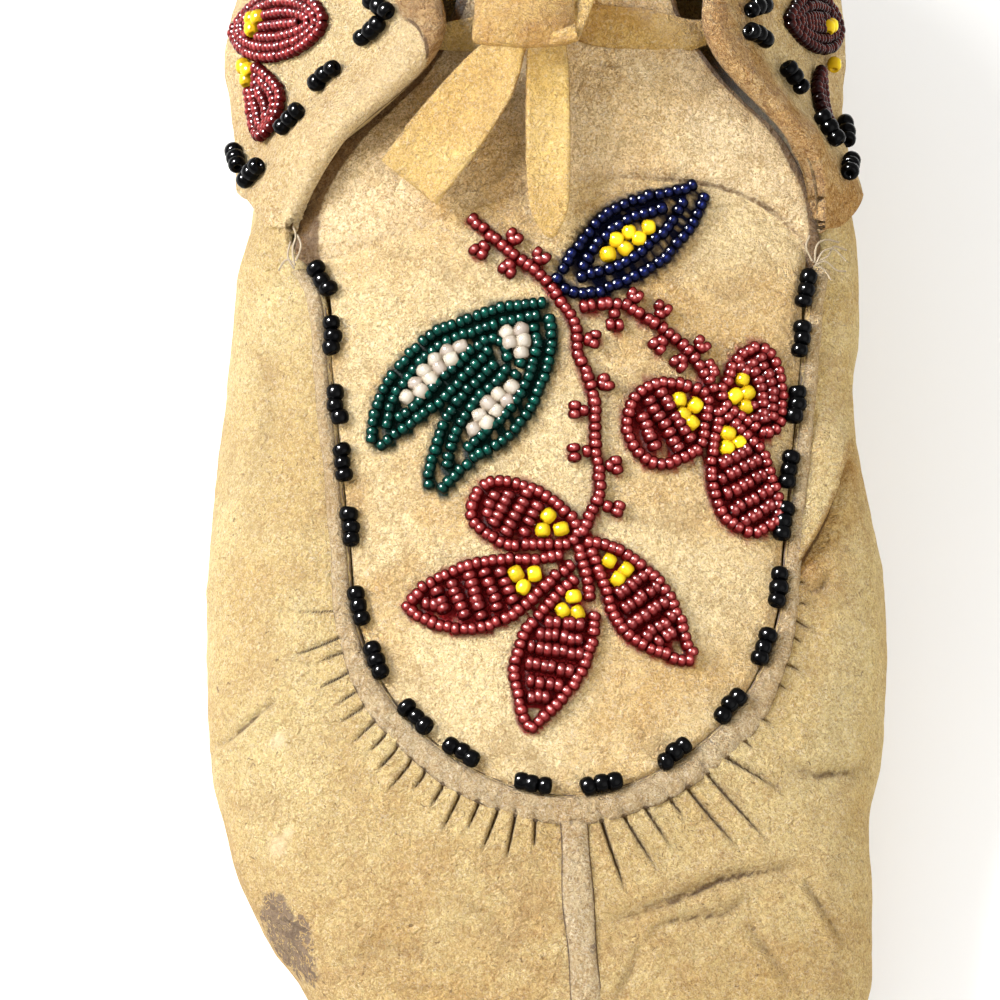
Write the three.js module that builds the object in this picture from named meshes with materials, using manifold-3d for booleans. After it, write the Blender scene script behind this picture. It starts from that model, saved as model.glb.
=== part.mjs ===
// Beaded moccasin for the right foot, soft soled, with a gathered toe, a beaded vamp and a turned-down cuff.
// Millimetres. Toe towards -Y, heel towards +Y, lateral side at -X, medial side at +X, floor at z = 0.

import * as THREE from 'three';
import Module from 'manifold-3d';

const wasm = await Module();
wasm.setup();

// Thicknesses and clearances
const HIDE = 1.8;
const THIN_HIDE = 1.4;
const GAP = 0.35;

// Vamp: a surface that rises from the tip and falls away to both sides
const VAMP_TIP_Y = -73.5;
const VAMP_TIP_Z = 45.2;
const VAMP_SLOPE = 0.247;
const VAMP_BEND = 0.0007;
const VAMP_CROWN = 0.0044;
const VAMP_ROUND_Y = -38;
const VAMP_HALF_WIDTH = 35.5;
const VAMP_WIDENING = 0.115;
const VAMP_ROUNDNESS = 1.8;
const VAMP_TOP_ARCH = 9.5;
const VAMP_TOP_PEAK = 0.3;
const VAMP_TOP = 9.65;
const VAMP_EASE = 1.2;
const VAMP_EASE_FROM = 8;
const VAMP_SEAM_GAP = 0.5;

// Wall curve between the widest point and the rim
const WALL_RISE = 0.5;
const WALL_REACH = 0.44;

// One row for each section of the foot, toe to heel: y, lateral, medial and z place the widest points, roll
// is how far the sole's edge lies inside them, rimY is where the wall ends, arrive its slope there in degrees
const SECTIONS = [
  { y: -126, lateral: 5, medial: 5, z: 15, roll: 13, rimY: -73.5, arrive: 14 },
  { y: -122, lateral: -14, medial: 26, z: 15, roll: 13, rimY: -72.2, arrive: 14 },
  { y: -112, lateral: -30, medial: 42.5, z: 16, roll: 13, rimY: -68, arrive: 15 },
  { y: -98, lateral: -42, medial: 49.5, z: 17, roll: 13, rimY: -61, arrive: 16 },
  { y: -84, lateral: -51, medial: 50.3, z: 18, roll: 14, rimY: -53, arrive: 17 },
  { y: -68, lateral: -57.2, medial: 50.8, z: 21, roll: 15, rimY: -43, arrive: 18 },
  { y: -48, lateral: -60.4, medial: 54, z: 24, roll: 16, rimY: -32, arrive: 19 },
  { y: -27, lateral: -61.2, medial: 54.2, z: 25, roll: 16, rimY: -19, arrive: 19 },
  { y: -3, lateral: -59.3, medial: 48, z: 28, roll: 16, rimY: -3, arrive: 20 },
  { y: 10, lateral: -58, medial: 48.5, z: 30, roll: 16, rimY: 10, arrive: 24 },
  { y: 21, lateral: -56.2, medial: 49, z: 32, roll: 16, rimY: 20, arrive: 42 },
  { y: 32, lateral: -55, medial: 49.4, z: 34, roll: 16, rimY: 30.5, arrive: 57 },
  { y: 44, lateral: -53.6, medial: 48, z: 36, roll: 15, rimY: 42, arrive: 61 },
  { y: 64, lateral: -50, medial: 45.2, z: 35, roll: 15, rimY: 60, arrive: 64 },
  { y: 92, lateral: -42, medial: 39, z: 31, roll: 14, rimY: 85, arrive: 66 },
  { y: 113, lateral: -25, medial: 22, z: 28, roll: 13, rimY: 101, arrive: 70 },
  { y: 122, lateral: -2, medial: -2, z: 27, roll: 12, rimY: 106, arrive: 70 },
];

// Collar, from the vamp's corners past the tie and round the heel: rim of the wall and hem of the cuff
const COLLAR_START = 10;
const COLLAR = [
  { rimLateral: -44.5, rimMedial: 42, rimZ: 66, hemLateral: -53.6, hemMedial: 49.8, hemY: 25, hemZ: 58.5 },
  { rimLateral: -37, rimMedial: 36.5, rimZ: 77, hemLateral: -54.6, hemMedial: 49.2, hemY: 34, hemZ: 56.5 },
  { rimLateral: -22.5, rimMedial: 24.5, rimZ: 88.5, hemLateral: -55.4, hemMedial: 47, hemY: 46, hemZ: 56 },
  { rimLateral: -28.5, rimMedial: 27, rimZ: 90.5, hemLateral: -57, hemMedial: 47.4, hemY: 67, hemZ: 57 },
  { rimLateral: -27.5, rimMedial: 24.5, rimZ: 88.5, hemLateral: -48, hemMedial: 43.5, hemY: 99, hemZ: 56 },
  { rimLateral: -15.5, rimMedial: 12, rimZ: 87.5, hemLateral: -28, hemMedial: 25, hemY: 120, hemZ: 55 },
  { rimLateral: -2, rimMedial: -2, rimZ: 87, hemLateral: -2, hemMedial: -2, hemY: 126, hemZ: 55 },
];
const CUFF_GAP = 0.95;
const CUFF_FOLD = 0.27;
const CUFF_LIFT = 0.2;
const CUFF_DRAPE = 0.42;

// Sole: lift at the toe, at the heel's back edge and under the medial arch
const TOE_SPRING = { from: -88, lift: 5, over: 38 };
const HEEL_LIFT = { from: 98, lift: 1.2, over: 12 };
const ARCH = { from: -15, to: 58, lift: 2.2, inner: 5, outer: 34 };

// Tongue, from under the vamp to its free end
const TONGUE = [
  { y: 15, drop: 2.4, half: 40.4, crown: 0.0044 },
  { y: 26, drop: 2.6, half: 38, crown: 0.0044 },
  { y: 34, z: 79, half: 32.2, crown: 0.0046 },
  { y: 42, z: 84.4, half: 22.8, crown: 0.0066 },
  { y: 50, z: 92, half: 18.2, crown: 0.01 },
  { y: 56, z: 103, half: 17, crown: 0.012 },
];

// Thong of hide and the slits it runs through
const THONG = 1.5;
const SLIT = { below: 6, width: 11, height: 7.6, depth: 9, outside: 2.4, inside: 2.5 };
const CROSSING = { width: 6.5, gathered: 3.4, along: 0.71, clear: 0.85, across: [-1, -0.5, 0, 0.5, 1] };
const LATERAL_TIE = 12.35;
const KNOT = { at: [-5, 45, 95.8], size: [7, 5, 3.8] };
const LOOP = { at: [-15, 40.5, 102.9], width: 16, length: 17, height: 5.6 };
const END_LEFT = [
  { at: [-8.6, 40.4, 94.2], width: 5 },
  { at: [-13, 36, 88.5], width: 10 },
  { at: [-20, 29, 81.5], width: 12 },
  { at: [-25.5, 22.5, 76], width: 12 },
];
const END_RIGHT = [
  { at: [-3.6, 39.5, 94.4], width: 4.5 },
  { at: [-3.4, 35, 90], width: 6.5 },
  { at: [-3.2, 25, 81.5], width: 6.5 },
  { at: [-2.9, 17, 77.6], width: 5.5 },
  { at: [-2.8, 13.5, 75.6], width: 1.2 },
];

// Welts: strips of hide along the outside of the vamp seam, wider round the toe, and down the toe's own seam
const WELT = { side: 1.6, toe: 4.2, rise: 0.9, inset: 0.9, narrowFrom: 4, narrowTo: 7.5, end: 9.4 };
const TOE_WELT = { width: 5, rise: 1.1, low: 0.45 };

// Beadwork in relief: each motif is a pad with the outline of its petal or leaf. Half is half its width,
// belly is where it is widest, end shapes its tip and bow bends it sideways.
const BEADWORK = 1.5;
const ROUND = 0.5;
const POINTED = 0.8;
const PETAL_BASE = 0.7;
const PETAL_MARGIN = 0.03;
const LARGE_FLOWER = [
  { base: [-0.6, -31.6], tip: [-16.4, -26.8], half: 5.4, belly: 0.58, end: ROUND, bow: 1 },
  { base: [-1, -36], tip: [-25.7, -42.1], half: 5.4, belly: 0.5, end: POINTED, bow: -1.6 },
  { base: [1, -38.4], tip: [-5.2, -62.7], half: 6.2, belly: 0.5, end: POINTED, bow: 0.5 },
  { base: [4.4, -35], tip: [19.8, -51.2], half: 5.6, belly: 0.55, end: POINTED, bow: -0.5 },
];
const SMALL_FLOWER = [
  { base: [22.2, -9.4], tip: [8.9, -14.5], half: 6.8, belly: 0.55, end: ROUND, bow: 0 },
  { base: [25.6, -7], tip: [35.2, -6.6], half: 6.8, belly: 0.6, end: ROUND, bow: 0 },
  { base: [24.8, -11.2], tip: [30.4, -31], half: 5.8, belly: 0.62, end: ROUND, bow: 0 },
];
const BLUE_LEAF = { base: [1.4, 8.2], tip: [23.2, 22.6], half: 5, belly: 0.46, end: POINTED, bow: 0 };
const GREEN_LEAVES = [
  { base: [-4.4, 3.4], tip: [-33, -15], half: 5.3, belly: 0.5, end: POINTED, bow: 2.4 },
  { base: [-4.2, 2.6], tip: [-22, -24.6], half: 5, belly: 0.5, end: POINTED, bow: -1.2 },
];
const STEM_WIDTH = 1.8;
const STEM = [
  { x: -15.5, y: 18 }, { x: -9.8, y: 13 }, { x: -4, y: 8.7 }, { x: 1.2, y: 1.4 }, { x: 1.8, y: -3.5 },
  { x: 4.3, y: -10 }, { x: 4.5, y: -17.4 }, { x: 5.1, y: -24 }, { x: 4.2, y: -30 },
];
const BRANCH = [
  { x: 3, y: 4 }, { x: 8.8, y: 4.6 }, { x: 15.6, y: 1.1 }, { x: 20.7, y: -3.1 }, { x: 23.2, y: -6.6 },
];

// Motifs on the cuff, placed by section of the foot and by part of the way from collar seam to hem
const CUFF_LATERAL = [
  { base: [12.9, 0.95], tip: [12.5, 0.62], half: 5, belly: 0.6, end: ROUND, bow: 0 },
  { base: [12.55, 0.91], tip: [11.5, 0.81], half: 3.6, belly: 0.6, end: ROUND, bow: 0 },
];
const CUFF_MEDIAL = [
  { base: [19.5, 0.62], tip: [19.06, 0.93], half: 5.2, belly: 0.5, end: ROUND, bow: 0 },
  { base: [19.6, 0.825], tip: [20.42, 0.79], half: 1.6, belly: 0.5, end: ROUND, bow: 0 },
];

// Groups of three large black beads: along the vamp seam in millimetres from its tip, and on the cuff
const BLACK_BEAD = { radius: 1.5, length: 2.1, neck: 1, sides: 6 };
const SEAM_BEAD_INSET = 1.3;
const SEAM_BEADS = [
  { lateral: 6, medial: 5.6 },
  { lateral: 19, medial: 19 },
  { lateral: 29, medial: 31.6 },
  { lateral: 41, medial: 43.6 },
  { lateral: 51, medial: 54.2 },
  { lateral: 64, medial: 65 },
  { lateral: 74.5, medial: 73.4 },
  { lateral: 84, medial: 84.2 },
  { lateral: 95.4, medial: 94.8 },
  { lateral: 104.4, medial: 102.8 },
];
const CUFF_BEADS = [
  { at: [12.14, 0.47], to: [12.08, 0.52] },
  { at: [11.84, 0.62], to: [11.8, 0.66] },
  { at: [11.39, 0.69], to: [11.28, 0.72] },
  { at: [10.84, 0.79], to: [10.72, 0.875] },
  { at: [19.9, 0.45], to: [19.89, 0.5] },
  { at: [20.16, 0.62], to: [20.25, 0.65] },
  { at: [20.74, 0.64], to: [20.88, 0.635] },
  { at: [21.13, 0.7], to: [21.3, 0.62] },
];

// Colours and roughness
const COLOURS = {
  body: 0xc9a76a, vamp: 0xd5b883, welt: 0xb5a07a, tongue: 0xc7a878, cuff: 0xdcc28f, thong: 0xd2b074,
  red: 0x7a1f33, navy: 0x10185c, green: 0x0c4a3c, black: 0x0b0b0d,
};
const HIDE_ROUGHNESS = 0.95;
const BEAD_ROUGHNESS = 0.2;

// Fineness of the surfaces
const COUNTS = {
  perSection: 2, roll: 4, wall: 7, vampAlong: 10, vampAcross: 8, welt: 56, toeWelt: 14, tongueAlong: 14,
  tongueAcross: 8, cuff: 36, crossing: 24, end: 12, petal: 8, knotRound: 12, knotHigh: 8, loopArc: 6,
};
const CUFF_ROWS = [0, 0.06, 0.12, 0.19, 0.27, 0.37, 0.5, 0.65, 0.82, 1];
const VAMP_FIRST_ROWS = [0.001, 0.5];
const WELD = 0.001;
const TENSION = 0.5;

// Parameter steps over which slopes are measured
const WALL_STEP = { a: 0.03, b: 0.004 };
const VAMP_STEP = { a: 0.5, b: 0.5 };
const TONGUE_STEP = { a: 0.02, b: 0.01 };
const CUFF_STEP = { a: 0.03, b: 0.02 };
const SOLE_STEP = 0.02;
const SEAM_STEP = 0.05;
const SEAM_WALK = 0.01;

const RING = 2 * (SECTIONS.length - 1);
const MEDIAL_TIE = RING - LATERAL_TIE;
const UP = new THREE.Vector3(0, 0, 1);

const curveThrough = (points, closed = false) => (
  new THREE.CatmullRomCurve3(points, closed, 'catmullrom', TENSION));

const smooth = (value, low, high) => {
  const t = THREE.MathUtils.clamp((value - low) / (high - low), 0, 1);
  return t * t * (3 - 2 * t);
};

// Vamp surface and seam

function vampHeight(x, y) {
  const s = y - VAMP_TIP_Y;
  return VAMP_TIP_Z + VAMP_SLOPE * s + VAMP_BEND * s * s - VAMP_CROWN * x * x;
}

function vampHalfWidth(y) {
  if (y > VAMP_ROUND_Y) return VAMP_HALF_WIDTH + VAMP_WIDENING * (y - VAMP_ROUND_Y);
  const q = Math.min(1, (VAMP_ROUND_Y - y) / (VAMP_ROUND_Y - VAMP_TIP_Y));
  return VAMP_HALF_WIDTH * (1 - q ** VAMP_ROUNDNESS) ** (1 / VAMP_ROUNDNESS);
}

// Rise of the vamp's top edge between its corners at s = -1 and s = 1
function vampArch(s) {
  if (s > VAMP_TOP_PEAK) return VAMP_TOP_ARCH * (1 - ((s - VAMP_TOP_PEAK) / (1 - VAMP_TOP_PEAK)) ** 4);
  return VAMP_TOP_ARCH * (1 + Math.cos(Math.PI * (VAMP_TOP_PEAK - s) / (1 + VAMP_TOP_PEAK))) / 2;
}

const vampSurface = (x, y) => new THREE.Vector3(x, y, vampHeight(x, y));

// Point at a height above the vamp, square to it
function overVamp(x, y, height) {
  const riseX = -2 * VAMP_CROWN * x;
  const riseY = VAMP_SLOPE + 2 * VAMP_BEND * (y - VAMP_TIP_Y);
  return vampSurface(x, y).addScaledVector(new THREE.Vector3(-riseX, -riseY, 1).normalize(), height);
}

function soleHeight(x, y) {
  const toe = Math.max(0, (TOE_SPRING.from - y) / TOE_SPRING.over);
  const heel = Math.max(0, (y - HEEL_LIFT.from) / HEEL_LIFT.over);
  const part = THREE.MathUtils.clamp((y - ARCH.from) / (ARCH.to - ARCH.from), 0, 1);
  const along = Math.sin(Math.PI * part);
  const arch = ARCH.lift * along * along * smooth(x, ARCH.inner, ARCH.outer);
  return TOE_SPRING.lift * toe * toe + HEEL_LIFT.lift * heel * heel + arch;
}

// Closed curves round the foot: toe tip, lateral side, heel, medial side

function ring(point) {
  const side = (name) => SECTIONS.map((row, i) => point(row, COLLAR[i - COLLAR_START], name));
  const lateral = side('lateral');
  const medial = side('medial').slice(1, -1).reverse();
  const curve = curveThrough([...lateral, ...medial], true);
  return (u) => curve.getPoint(THREE.MathUtils.euclideanModulo(u, RING) / RING);
}

const widestAt = ring((row, collar, side) => new THREE.Vector3(row[side], row.y, row.z));
const shapeAt = ring((row) => new THREE.Vector3(row.roll, row.arrive, 0));
const rimAt = ring((row, collar, side) => {
  const sign = side === 'lateral' ? -1 : 1;
  if (!collar) return vampSurface(sign * vampHalfWidth(row.rimY), row.rimY);
  return new THREE.Vector3(side === 'lateral' ? collar.rimLateral : collar.rimMedial, row.rimY, collar.rimZ);
});
const hemAt = ring((row, collar, side) => {
  if (!collar) return new THREE.Vector3(row[side], row.y, row.z);
  const x = side === 'lateral' ? collar.hemLateral : collar.hemMedial;
  return new THREE.Vector3(x, collar.hemY, collar.hemZ);
});

function bezier(a, b, c, d, t) {
  const s = 1 - t;
  return a.clone().multiplyScalar(s * s * s)
    .addScaledVector(b, 3 * s * s * t)
    .addScaledVector(c, 3 * s * t * t)
    .addScaledVector(d, t * t * t);
}

// Direction in which the wall reaches its rim
function arrival(u) {
  const inward = rimAt(u).sub(widestAt(u)).setZ(0).normalize();
  const angle = THREE.MathUtils.degToRad(shapeAt(u).y);
  return inward.multiplyScalar(Math.cos(angle)).addScaledVector(UP, Math.sin(angle));
}

function soleEdge(u) {
  const along = widestAt(u + SOLE_STEP).sub(widestAt(u - SOLE_STEP)).setZ(0).normalize();
  const inward = new THREE.Vector3(along.y, -along.x, 0);
  const edge = widestAt(u).addScaledVector(inward, shapeAt(u).x);
  return edge.setZ(soleHeight(edge.x, edge.y));
}

// Outside of the wall: v from 0 at the sole's edge over 1 at the widest point to 2 at the rim
function wall(u, v) {
  const widest = widestAt(u);
  if (v < 1) {
    const edge = soleEdge(u);
    const a = v * Math.PI / 2;
    const p = edge.clone().lerp(widest, Math.sin(a));
    return p.setZ(edge.z + (widest.z - edge.z) * (1 - Math.cos(a)));
  }
  const rim = rimAt(u);
  const span = rim.distanceTo(widest);
  const b = widest.clone().addScaledVector(UP, WALL_RISE * (rim.z - widest.z));
  const c = rim.clone().addScaledVector(arrival(u), -WALL_REACH * span);
  return bezier(widest, b, c, rim, v - 1);
}

// Value of v at a distance below the rim
const belowRim = (u, distance) => 2 - distance / (3 * WALL_REACH * rimAt(u).distanceTo(widestAt(u)));

// Underside of the cuff: w from 0 at the collar seam over the fold to 1 at the hem
function cuff(u, w) {
  const start = rimAt(u).addScaledVector(arrival(u), CUFF_GAP);
  const hem = hemAt(u);
  const span = hem.distanceTo(start);
  const b = start.clone().addScaledVector(arrival(u), CUFF_FOLD * span);
  const c = hem.clone().lerp(start, CUFF_DRAPE).addScaledVector(UP, CUFF_LIFT * span);
  return bezier(start, b, c, hem, w);
}

// Point, normal and the two tangents of a surface
function frameOn(surface, a, b, step) {
  const high = surface.limit ?? Infinity;
  const b0 = Math.max(b - step.b, surface.start ?? -Infinity);
  const b1 = Math.min(b + step.b, high);
  const ta = surface(a + step.a, b).sub(surface(a - step.a, b)).divideScalar(2 * step.a);
  const tb = surface(a, b1).sub(surface(a, b0)).divideScalar(b1 - b0);
  return { p: surface(a, b), n: ta.clone().cross(tb).normalize(), ta, tb };
}

wall.start = 0;
wall.limit = 2;
cuff.start = 0;
cuff.limit = 1;
const outsideWall = (u, v, height) => {
  const f = frameOn(wall, u, v, WALL_STEP);
  return f.p.addScaledVector(f.n, -height);
};
const cuffLayer = (u, w, height) => {
  const f = frameOn(cuff, u, w, WALL_STEP);
  return f.p.addScaledVector(f.n, height);
};

// Solids from grids of points

function solid(faces) {
  const keys = new Map();
  const vertices = [];
  const index = (p) => {
    const key = p.toArray().map((c) => Math.round(c / WELD)).join(' ');
    if (!keys.has(key)) {
      keys.set(key, vertices.length);
      vertices.push(p);
    }
    return keys.get(key);
  };
  let triangles = faces.map((face) => face.map(index)).filter(([a, b, c]) => a !== b && b !== c && c !== a);
  const volume = triangles.reduce((sum, [a, b, c]) => (
    sum + vertices[a].dot(vertices[b].clone().cross(vertices[c]))), 0);
  if (volume < 0) triangles = triangles.map(([a, b, c]) => [a, c, b]);
  const geometry = new THREE.BufferGeometry();
  const positions = vertices.flatMap((p) => p.toArray());
  geometry.setAttribute('position', new THREE.Float32BufferAttribute(positions, 3));
  geometry.setIndex(triangles.flat());
  return geometry;
}

const quad = (a, b, c, d) => [[a, b, c], [a, c, d]];

function gridFaces(rows) {
  const faces = [];
  for (let i = 0; i + 1 < rows.length; i += 1) {
    for (let j = 0; j + 1 < rows[i].length; j += 1) {
      faces.push(...quad(rows[i][j], rows[i + 1][j], rows[i + 1][j + 1], rows[i][j + 1]));
    }
  }
  return faces;
}

// Sheet between two grids of the same size
function sheet(top, bottom) {
  const flipped = gridFaces(bottom).map(([a, b, c]) => [a, c, b]);
  const border = (rows) => [
    ...rows[0],
    ...rows.slice(1).map((row) => row.at(-1)),
    ...rows.at(-1).slice(0, -1).reverse(),
    ...rows.slice(1, -1).reverse().map((row) => row[0]),
  ];
  const high = border(top);
  const low = border(bottom);
  const edge = high.flatMap((p, i) => {
    const next = (i + 1) % high.length;
    return quad(p, high[next], low[next], low[i]);
  });
  return solid([...gridFaces(top), ...flipped, ...edge]);
}

// Grid of points from two lists of parameters
const grid = (as, bs, point) => as.map((a) => bs.map((b) => point(a, b)));
const steps = (from, to, count) => (
  Array.from({ length: count + 1 }, (_, i) => from + (to - from) * i / count));

function toManifold(geometry) {
  return new wasm.Manifold(new wasm.Mesh({
    numProp: 3,
    vertProperties: new Float32Array(geometry.attributes.position.array),
    triVerts: new Uint32Array(geometry.index.array),
  }));
}

function fromManifold(manifold) {
  const mesh = manifold.getMesh();
  const geometry = new THREE.BufferGeometry();
  const positions = new Float32Array(mesh.vertProperties);
  geometry.setAttribute('position', new THREE.BufferAttribute(positions, mesh.numProp));
  geometry.setIndex(new THREE.BufferAttribute(new Uint32Array(mesh.triVerts), 1));
  return geometry;
}

// Hide body: sole, sides and toe in one, open along the vamp seam and the collar

function bodyHide() {
  const us = steps(0, RING, COUNTS.perSection * RING).slice(0, -1);
  const vs = [...steps(0, 1, COUNTS.roll), ...steps(1, 2, COUNTS.wall).slice(1)];
  const section = (u) => [
    ...vs.map((v) => wall(u, v)),
    ...vs.toReversed().map((v) => outsideWall(u, v, -HIDE)),
  ];
  const rows = us.map(section);
  const faces = gridFaces([...rows, rows[0]]);
  const count = us.length;
  const floor = (lift, edge) => steps(0, count / 2, count / 2).map((k) => {
    const a = edge(rows[k % count]);
    const b = edge(rows[(count - k) % count]);
    const inner = [1 / 3, 2 / 3].map((t) => {
      const p = a.clone().lerp(b, t);
      return p.setZ(soleHeight(p.x, p.y) + lift);
    });
    return k % (count / 2) === 0 ? [a, a, a, a] : [a, ...inner, b];
  });
  const under = gridFaces(floor(0, (row) => row[0])).map(([a, b, c]) => [a, c, b]);
  const inside = gridFaces(floor(HIDE, (row) => row.at(-1)));
  return solid([...faces, ...under, ...inside]);
}

function slitAt(u) {
  const v = belowRim(u, SLIT.below);
  const f = frameOn(wall, u, v, WALL_STEP);
  const n = f.n.clone().negate();
  const along = new THREE.Vector3(0, 1, 0).addScaledVector(n, -n.y).normalize();
  return { centre: f.p.clone().addScaledVector(n, -HIDE / 2), n, along, down: n.clone().cross(along) };
}

function slitBox(u) {
  const s = slitAt(u);
  const turned = new THREE.Matrix4().makeBasis(s.along, s.down, s.n).setPosition(s.centre);
  return solid(triangles(new THREE.BoxGeometry(SLIT.width, SLIT.height, SLIT.depth).applyMatrix4(turned)));
}

function upperAndSole() {
  return fromManifold(toManifold(bodyHide())
    .subtract(toManifold(slitBox(LATERAL_TIE)))
    .subtract(toManifold(slitBox(MEDIAL_TIE))));
}

// Vamp: rows from the tip to the corners, then up to the arched top edge

function vampRows(height) {
  const columns = steps(-1, 1, COUNTS.vampAcross);
  const rowAt = (u, arch) => {
    const a = rimAt(u);
    const b = rimAt(RING - u);
    const middle = (a.x + b.x) / 2;
    const ease = VAMP_SEAM_GAP + VAMP_EASE * smooth(u, VAMP_EASE_FROM, VAMP_TOP);
    const half = Math.max(0, (b.x - a.x) / 2 - ease);
    return columns.map((s) => {
      const y = Math.max(a.y, VAMP_TIP_Y + GAP) + arch * vampArch(s);
      return overVamp(middle + s * half, y, height);
    });
  };
  const seam = [...VAMP_FIRST_ROWS, ...steps(1, VAMP_TOP, COUNTS.vampAlong)].map((u) => rowAt(u, 0));
  return [...seam, rowAt(VAMP_TOP, 0.5), rowAt(VAMP_TOP, 1)];
}

// Welts

function vampWelt() {
  const us = steps(-WELT.end, WELT.end, COUNTS.welt);
  const width = (u) => {
    return THREE.MathUtils.lerp(WELT.toe, WELT.side, smooth(Math.abs(u), WELT.narrowFrom, WELT.narrowTo));
  };
  const layer = (height) => us.map((u) => [0, 0.5, 1].map((part) => (
    outsideWall(u, belowRim(u, WELT.inset + part * width(u)), height))));
  return sheet(layer(GAP + WELT.rise), layer(GAP));
}

function toeSeamWelt() {
  const start = belowRim(0, WELT.inset + WELT.toe + 2 * GAP);
  const layer = (height) => steps(start, TOE_WELT.low, COUNTS.toeWelt).map((v) => {
    const f = frameOn(wall, 0, v, WALL_STEP);
    const half = TOE_WELT.width / 2 / f.ta.length();
    return [-half, 0, half].map((u) => outsideWall(u, v, height));
  });
  return sheet(layer(GAP + TOE_WELT.rise), layer(GAP));
}

// Tongue

function tongueSurface() {
  const line = TONGUE.map((row) => new THREE.Vector3(0, row.y, row.z ?? vampHeight(0, row.y) - row.drop));
  const middle = curveThrough(line);
  const form = curveThrough(TONGUE.map((row) => new THREE.Vector3(row.half, row.crown, 0)));
  return (s, t) => {
    const { x: half, y: crown } = form.getPoint(t);
    const p = middle.getPoint(t);
    const x = s * half;
    return p.setX(x).addScaledVector(UP, -crown * x * x);
  };
}

function tongue() {
  const surface = tongueSurface();
  surface.start = 0;
  surface.limit = 1;
  const ts = steps(0, 1, COUNTS.tongueAlong);
  const across = steps(-1, 1, COUNTS.tongueAcross);
  const layer = (height) => grid(ts, across, (t, s) => onSurface(surface, TONGUE_STEP, s, t, height));
  return sheet(layer(0), layer(-THIN_HIDE));
}

// Cuff

function cuffBand() {
  const us = steps(COLLAR_START, RING - COLLAR_START, COUNTS.cuff);
  const layer = (height) => grid(us, CUFF_ROWS, (u, w) => cuffLayer(u, w, height));
  return sheet(layer(HIDE), layer(0));
}

// Ribbon of hide through a list of points with a width at each, flat side towards up
function ribbon(rows, count) {
  const path = new THREE.CatmullRomCurve3(rows.map((r) => new THREE.Vector3(...r.at)), false, 'centripetal');
  const facing = curveThrough(rows.map((r) => r.face ?? UP));
  const wide = curveThrough(rows.map((r) => new THREE.Vector3(r.width, 0, 0)));
  const layer = (side) => steps(0, 1, count).map((t) => {
    const along = path.getTangent(t);
    const face = facing.getPoint(t);
    const normal = face.addScaledVector(along, -face.dot(along)).normalize();
    const across = along.clone().cross(normal);
    const half = wide.getPoint(t).x / 2;
    return [-half, 0, half].map((s) => (
      path.getPoint(t).addScaledVector(across, s).addScaledVector(normal, side * THONG / 2)));
  });
  return sheet(layer(1), layer(-1));
}

function laceCrossing() {
  const surface = tongueSurface();
  const face = frameOn(surface, 0, CROSSING.along, TONGUE_STEP).n;
  const end = (u) => {
    const s = slitAt(u);
    const outward = new THREE.Vector3(Math.sign(s.n.x), 0, 0);
    return [SLIT.outside, -SLIT.inside].map((distance) => (
      { at: s.centre.clone().addScaledVector(outward, distance), width: CROSSING.gathered, face }));
  };
  const over = CROSSING.across.map((s) => {
    const at = onSurface(surface, TONGUE_STEP, s, CROSSING.along, CROSSING.clear + THONG / 2);
    return { at, width: Math.abs(s) === 1 ? CROSSING.gathered : CROSSING.width, face };
  });
  return ribbon([...end(LATERAL_TIE), ...over, ...end(MEDIAL_TIE).reverse()], COUNTS.crossing);
}

// Triangles of a geometry as lists of three points
function triangles(geometry) {
  const position = (geometry.index ? geometry.toNonIndexed() : geometry).attributes.position;
  const corner = (i) => new THREE.Vector3().fromBufferAttribute(position, i);
  return steps(0, position.count / 3 - 1, position.count / 3 - 1)
    .map((i) => [corner(3 * i), corner(3 * i + 1), corner(3 * i + 2)]);
}

function laceKnot() {
  const ball = new THREE.SphereGeometry(1, COUNTS.knotRound, COUNTS.knotHigh);
  return solid(triangles(ball.scale(...KNOT.size).translate(...KNOT.at)));
}

// Outline with round ends, lying along the first axis
function stadium(Path, length, height) {
  const r = height / 2;
  const straight = length / 2 - r;
  const path = new Path();
  path.moveTo(-straight, -r);
  path.lineTo(straight, -r);
  path.absarc(straight, 0, r, -Math.PI / 2, Math.PI / 2, false);
  path.lineTo(-straight, r);
  path.absarc(-straight, 0, r, Math.PI / 2, 3 * Math.PI / 2, false);
  return path;
}

function laceLoop() {
  const outline = stadium(THREE.Shape, LOOP.length, LOOP.height);
  outline.holes.push(stadium(THREE.Path, LOOP.length - 2 * THONG, LOOP.height - 2 * THONG));
  const options = { depth: LOOP.width, bevelEnabled: false, curveSegments: COUNTS.loopArc };
  const band = new THREE.ExtrudeGeometry(outline, options);
  const turned = new THREE.Matrix4().makeBasis(
    new THREE.Vector3(0, 1, 0), new THREE.Vector3(0, 0, 1), new THREE.Vector3(1, 0, 0));
  band.applyMatrix4(turned.setPosition(...LOOP.at));
  return solid(triangles(band));
}

const cuffTop = (u, w) => cuffLayer(u, w, HIDE);
// Change of the two parameters that moves a point sideways on a surface
function slide(f, direction, distance) {
  const aa = f.ta.dot(f.ta);
  const ab = f.ta.dot(f.tb);
  const bb = f.tb.dot(f.tb);
  const det = aa * bb - ab * ab;
  const pa = f.ta.dot(direction) * distance;
  const pb = f.tb.dot(direction) * distance;
  return { a: (pa * bb - pb * ab) / det, b: (pb * aa - pa * ab) / det };
}

function onSurface(surface, step, a, b, height) {
  const f = frameOn(surface, a, b, step);
  return f.p.addScaledVector(f.n, height);
}

// Width of a petal along its length, from 0 over 1 at its belly to 0
function petal(t, row) {
  if (t < row.belly) return Math.sin(Math.PI / 2 * t / row.belly) ** PETAL_BASE;
  return Math.cos(Math.PI / 2 * (t - row.belly) / (1 - row.belly)) ** row.end;
}

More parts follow.
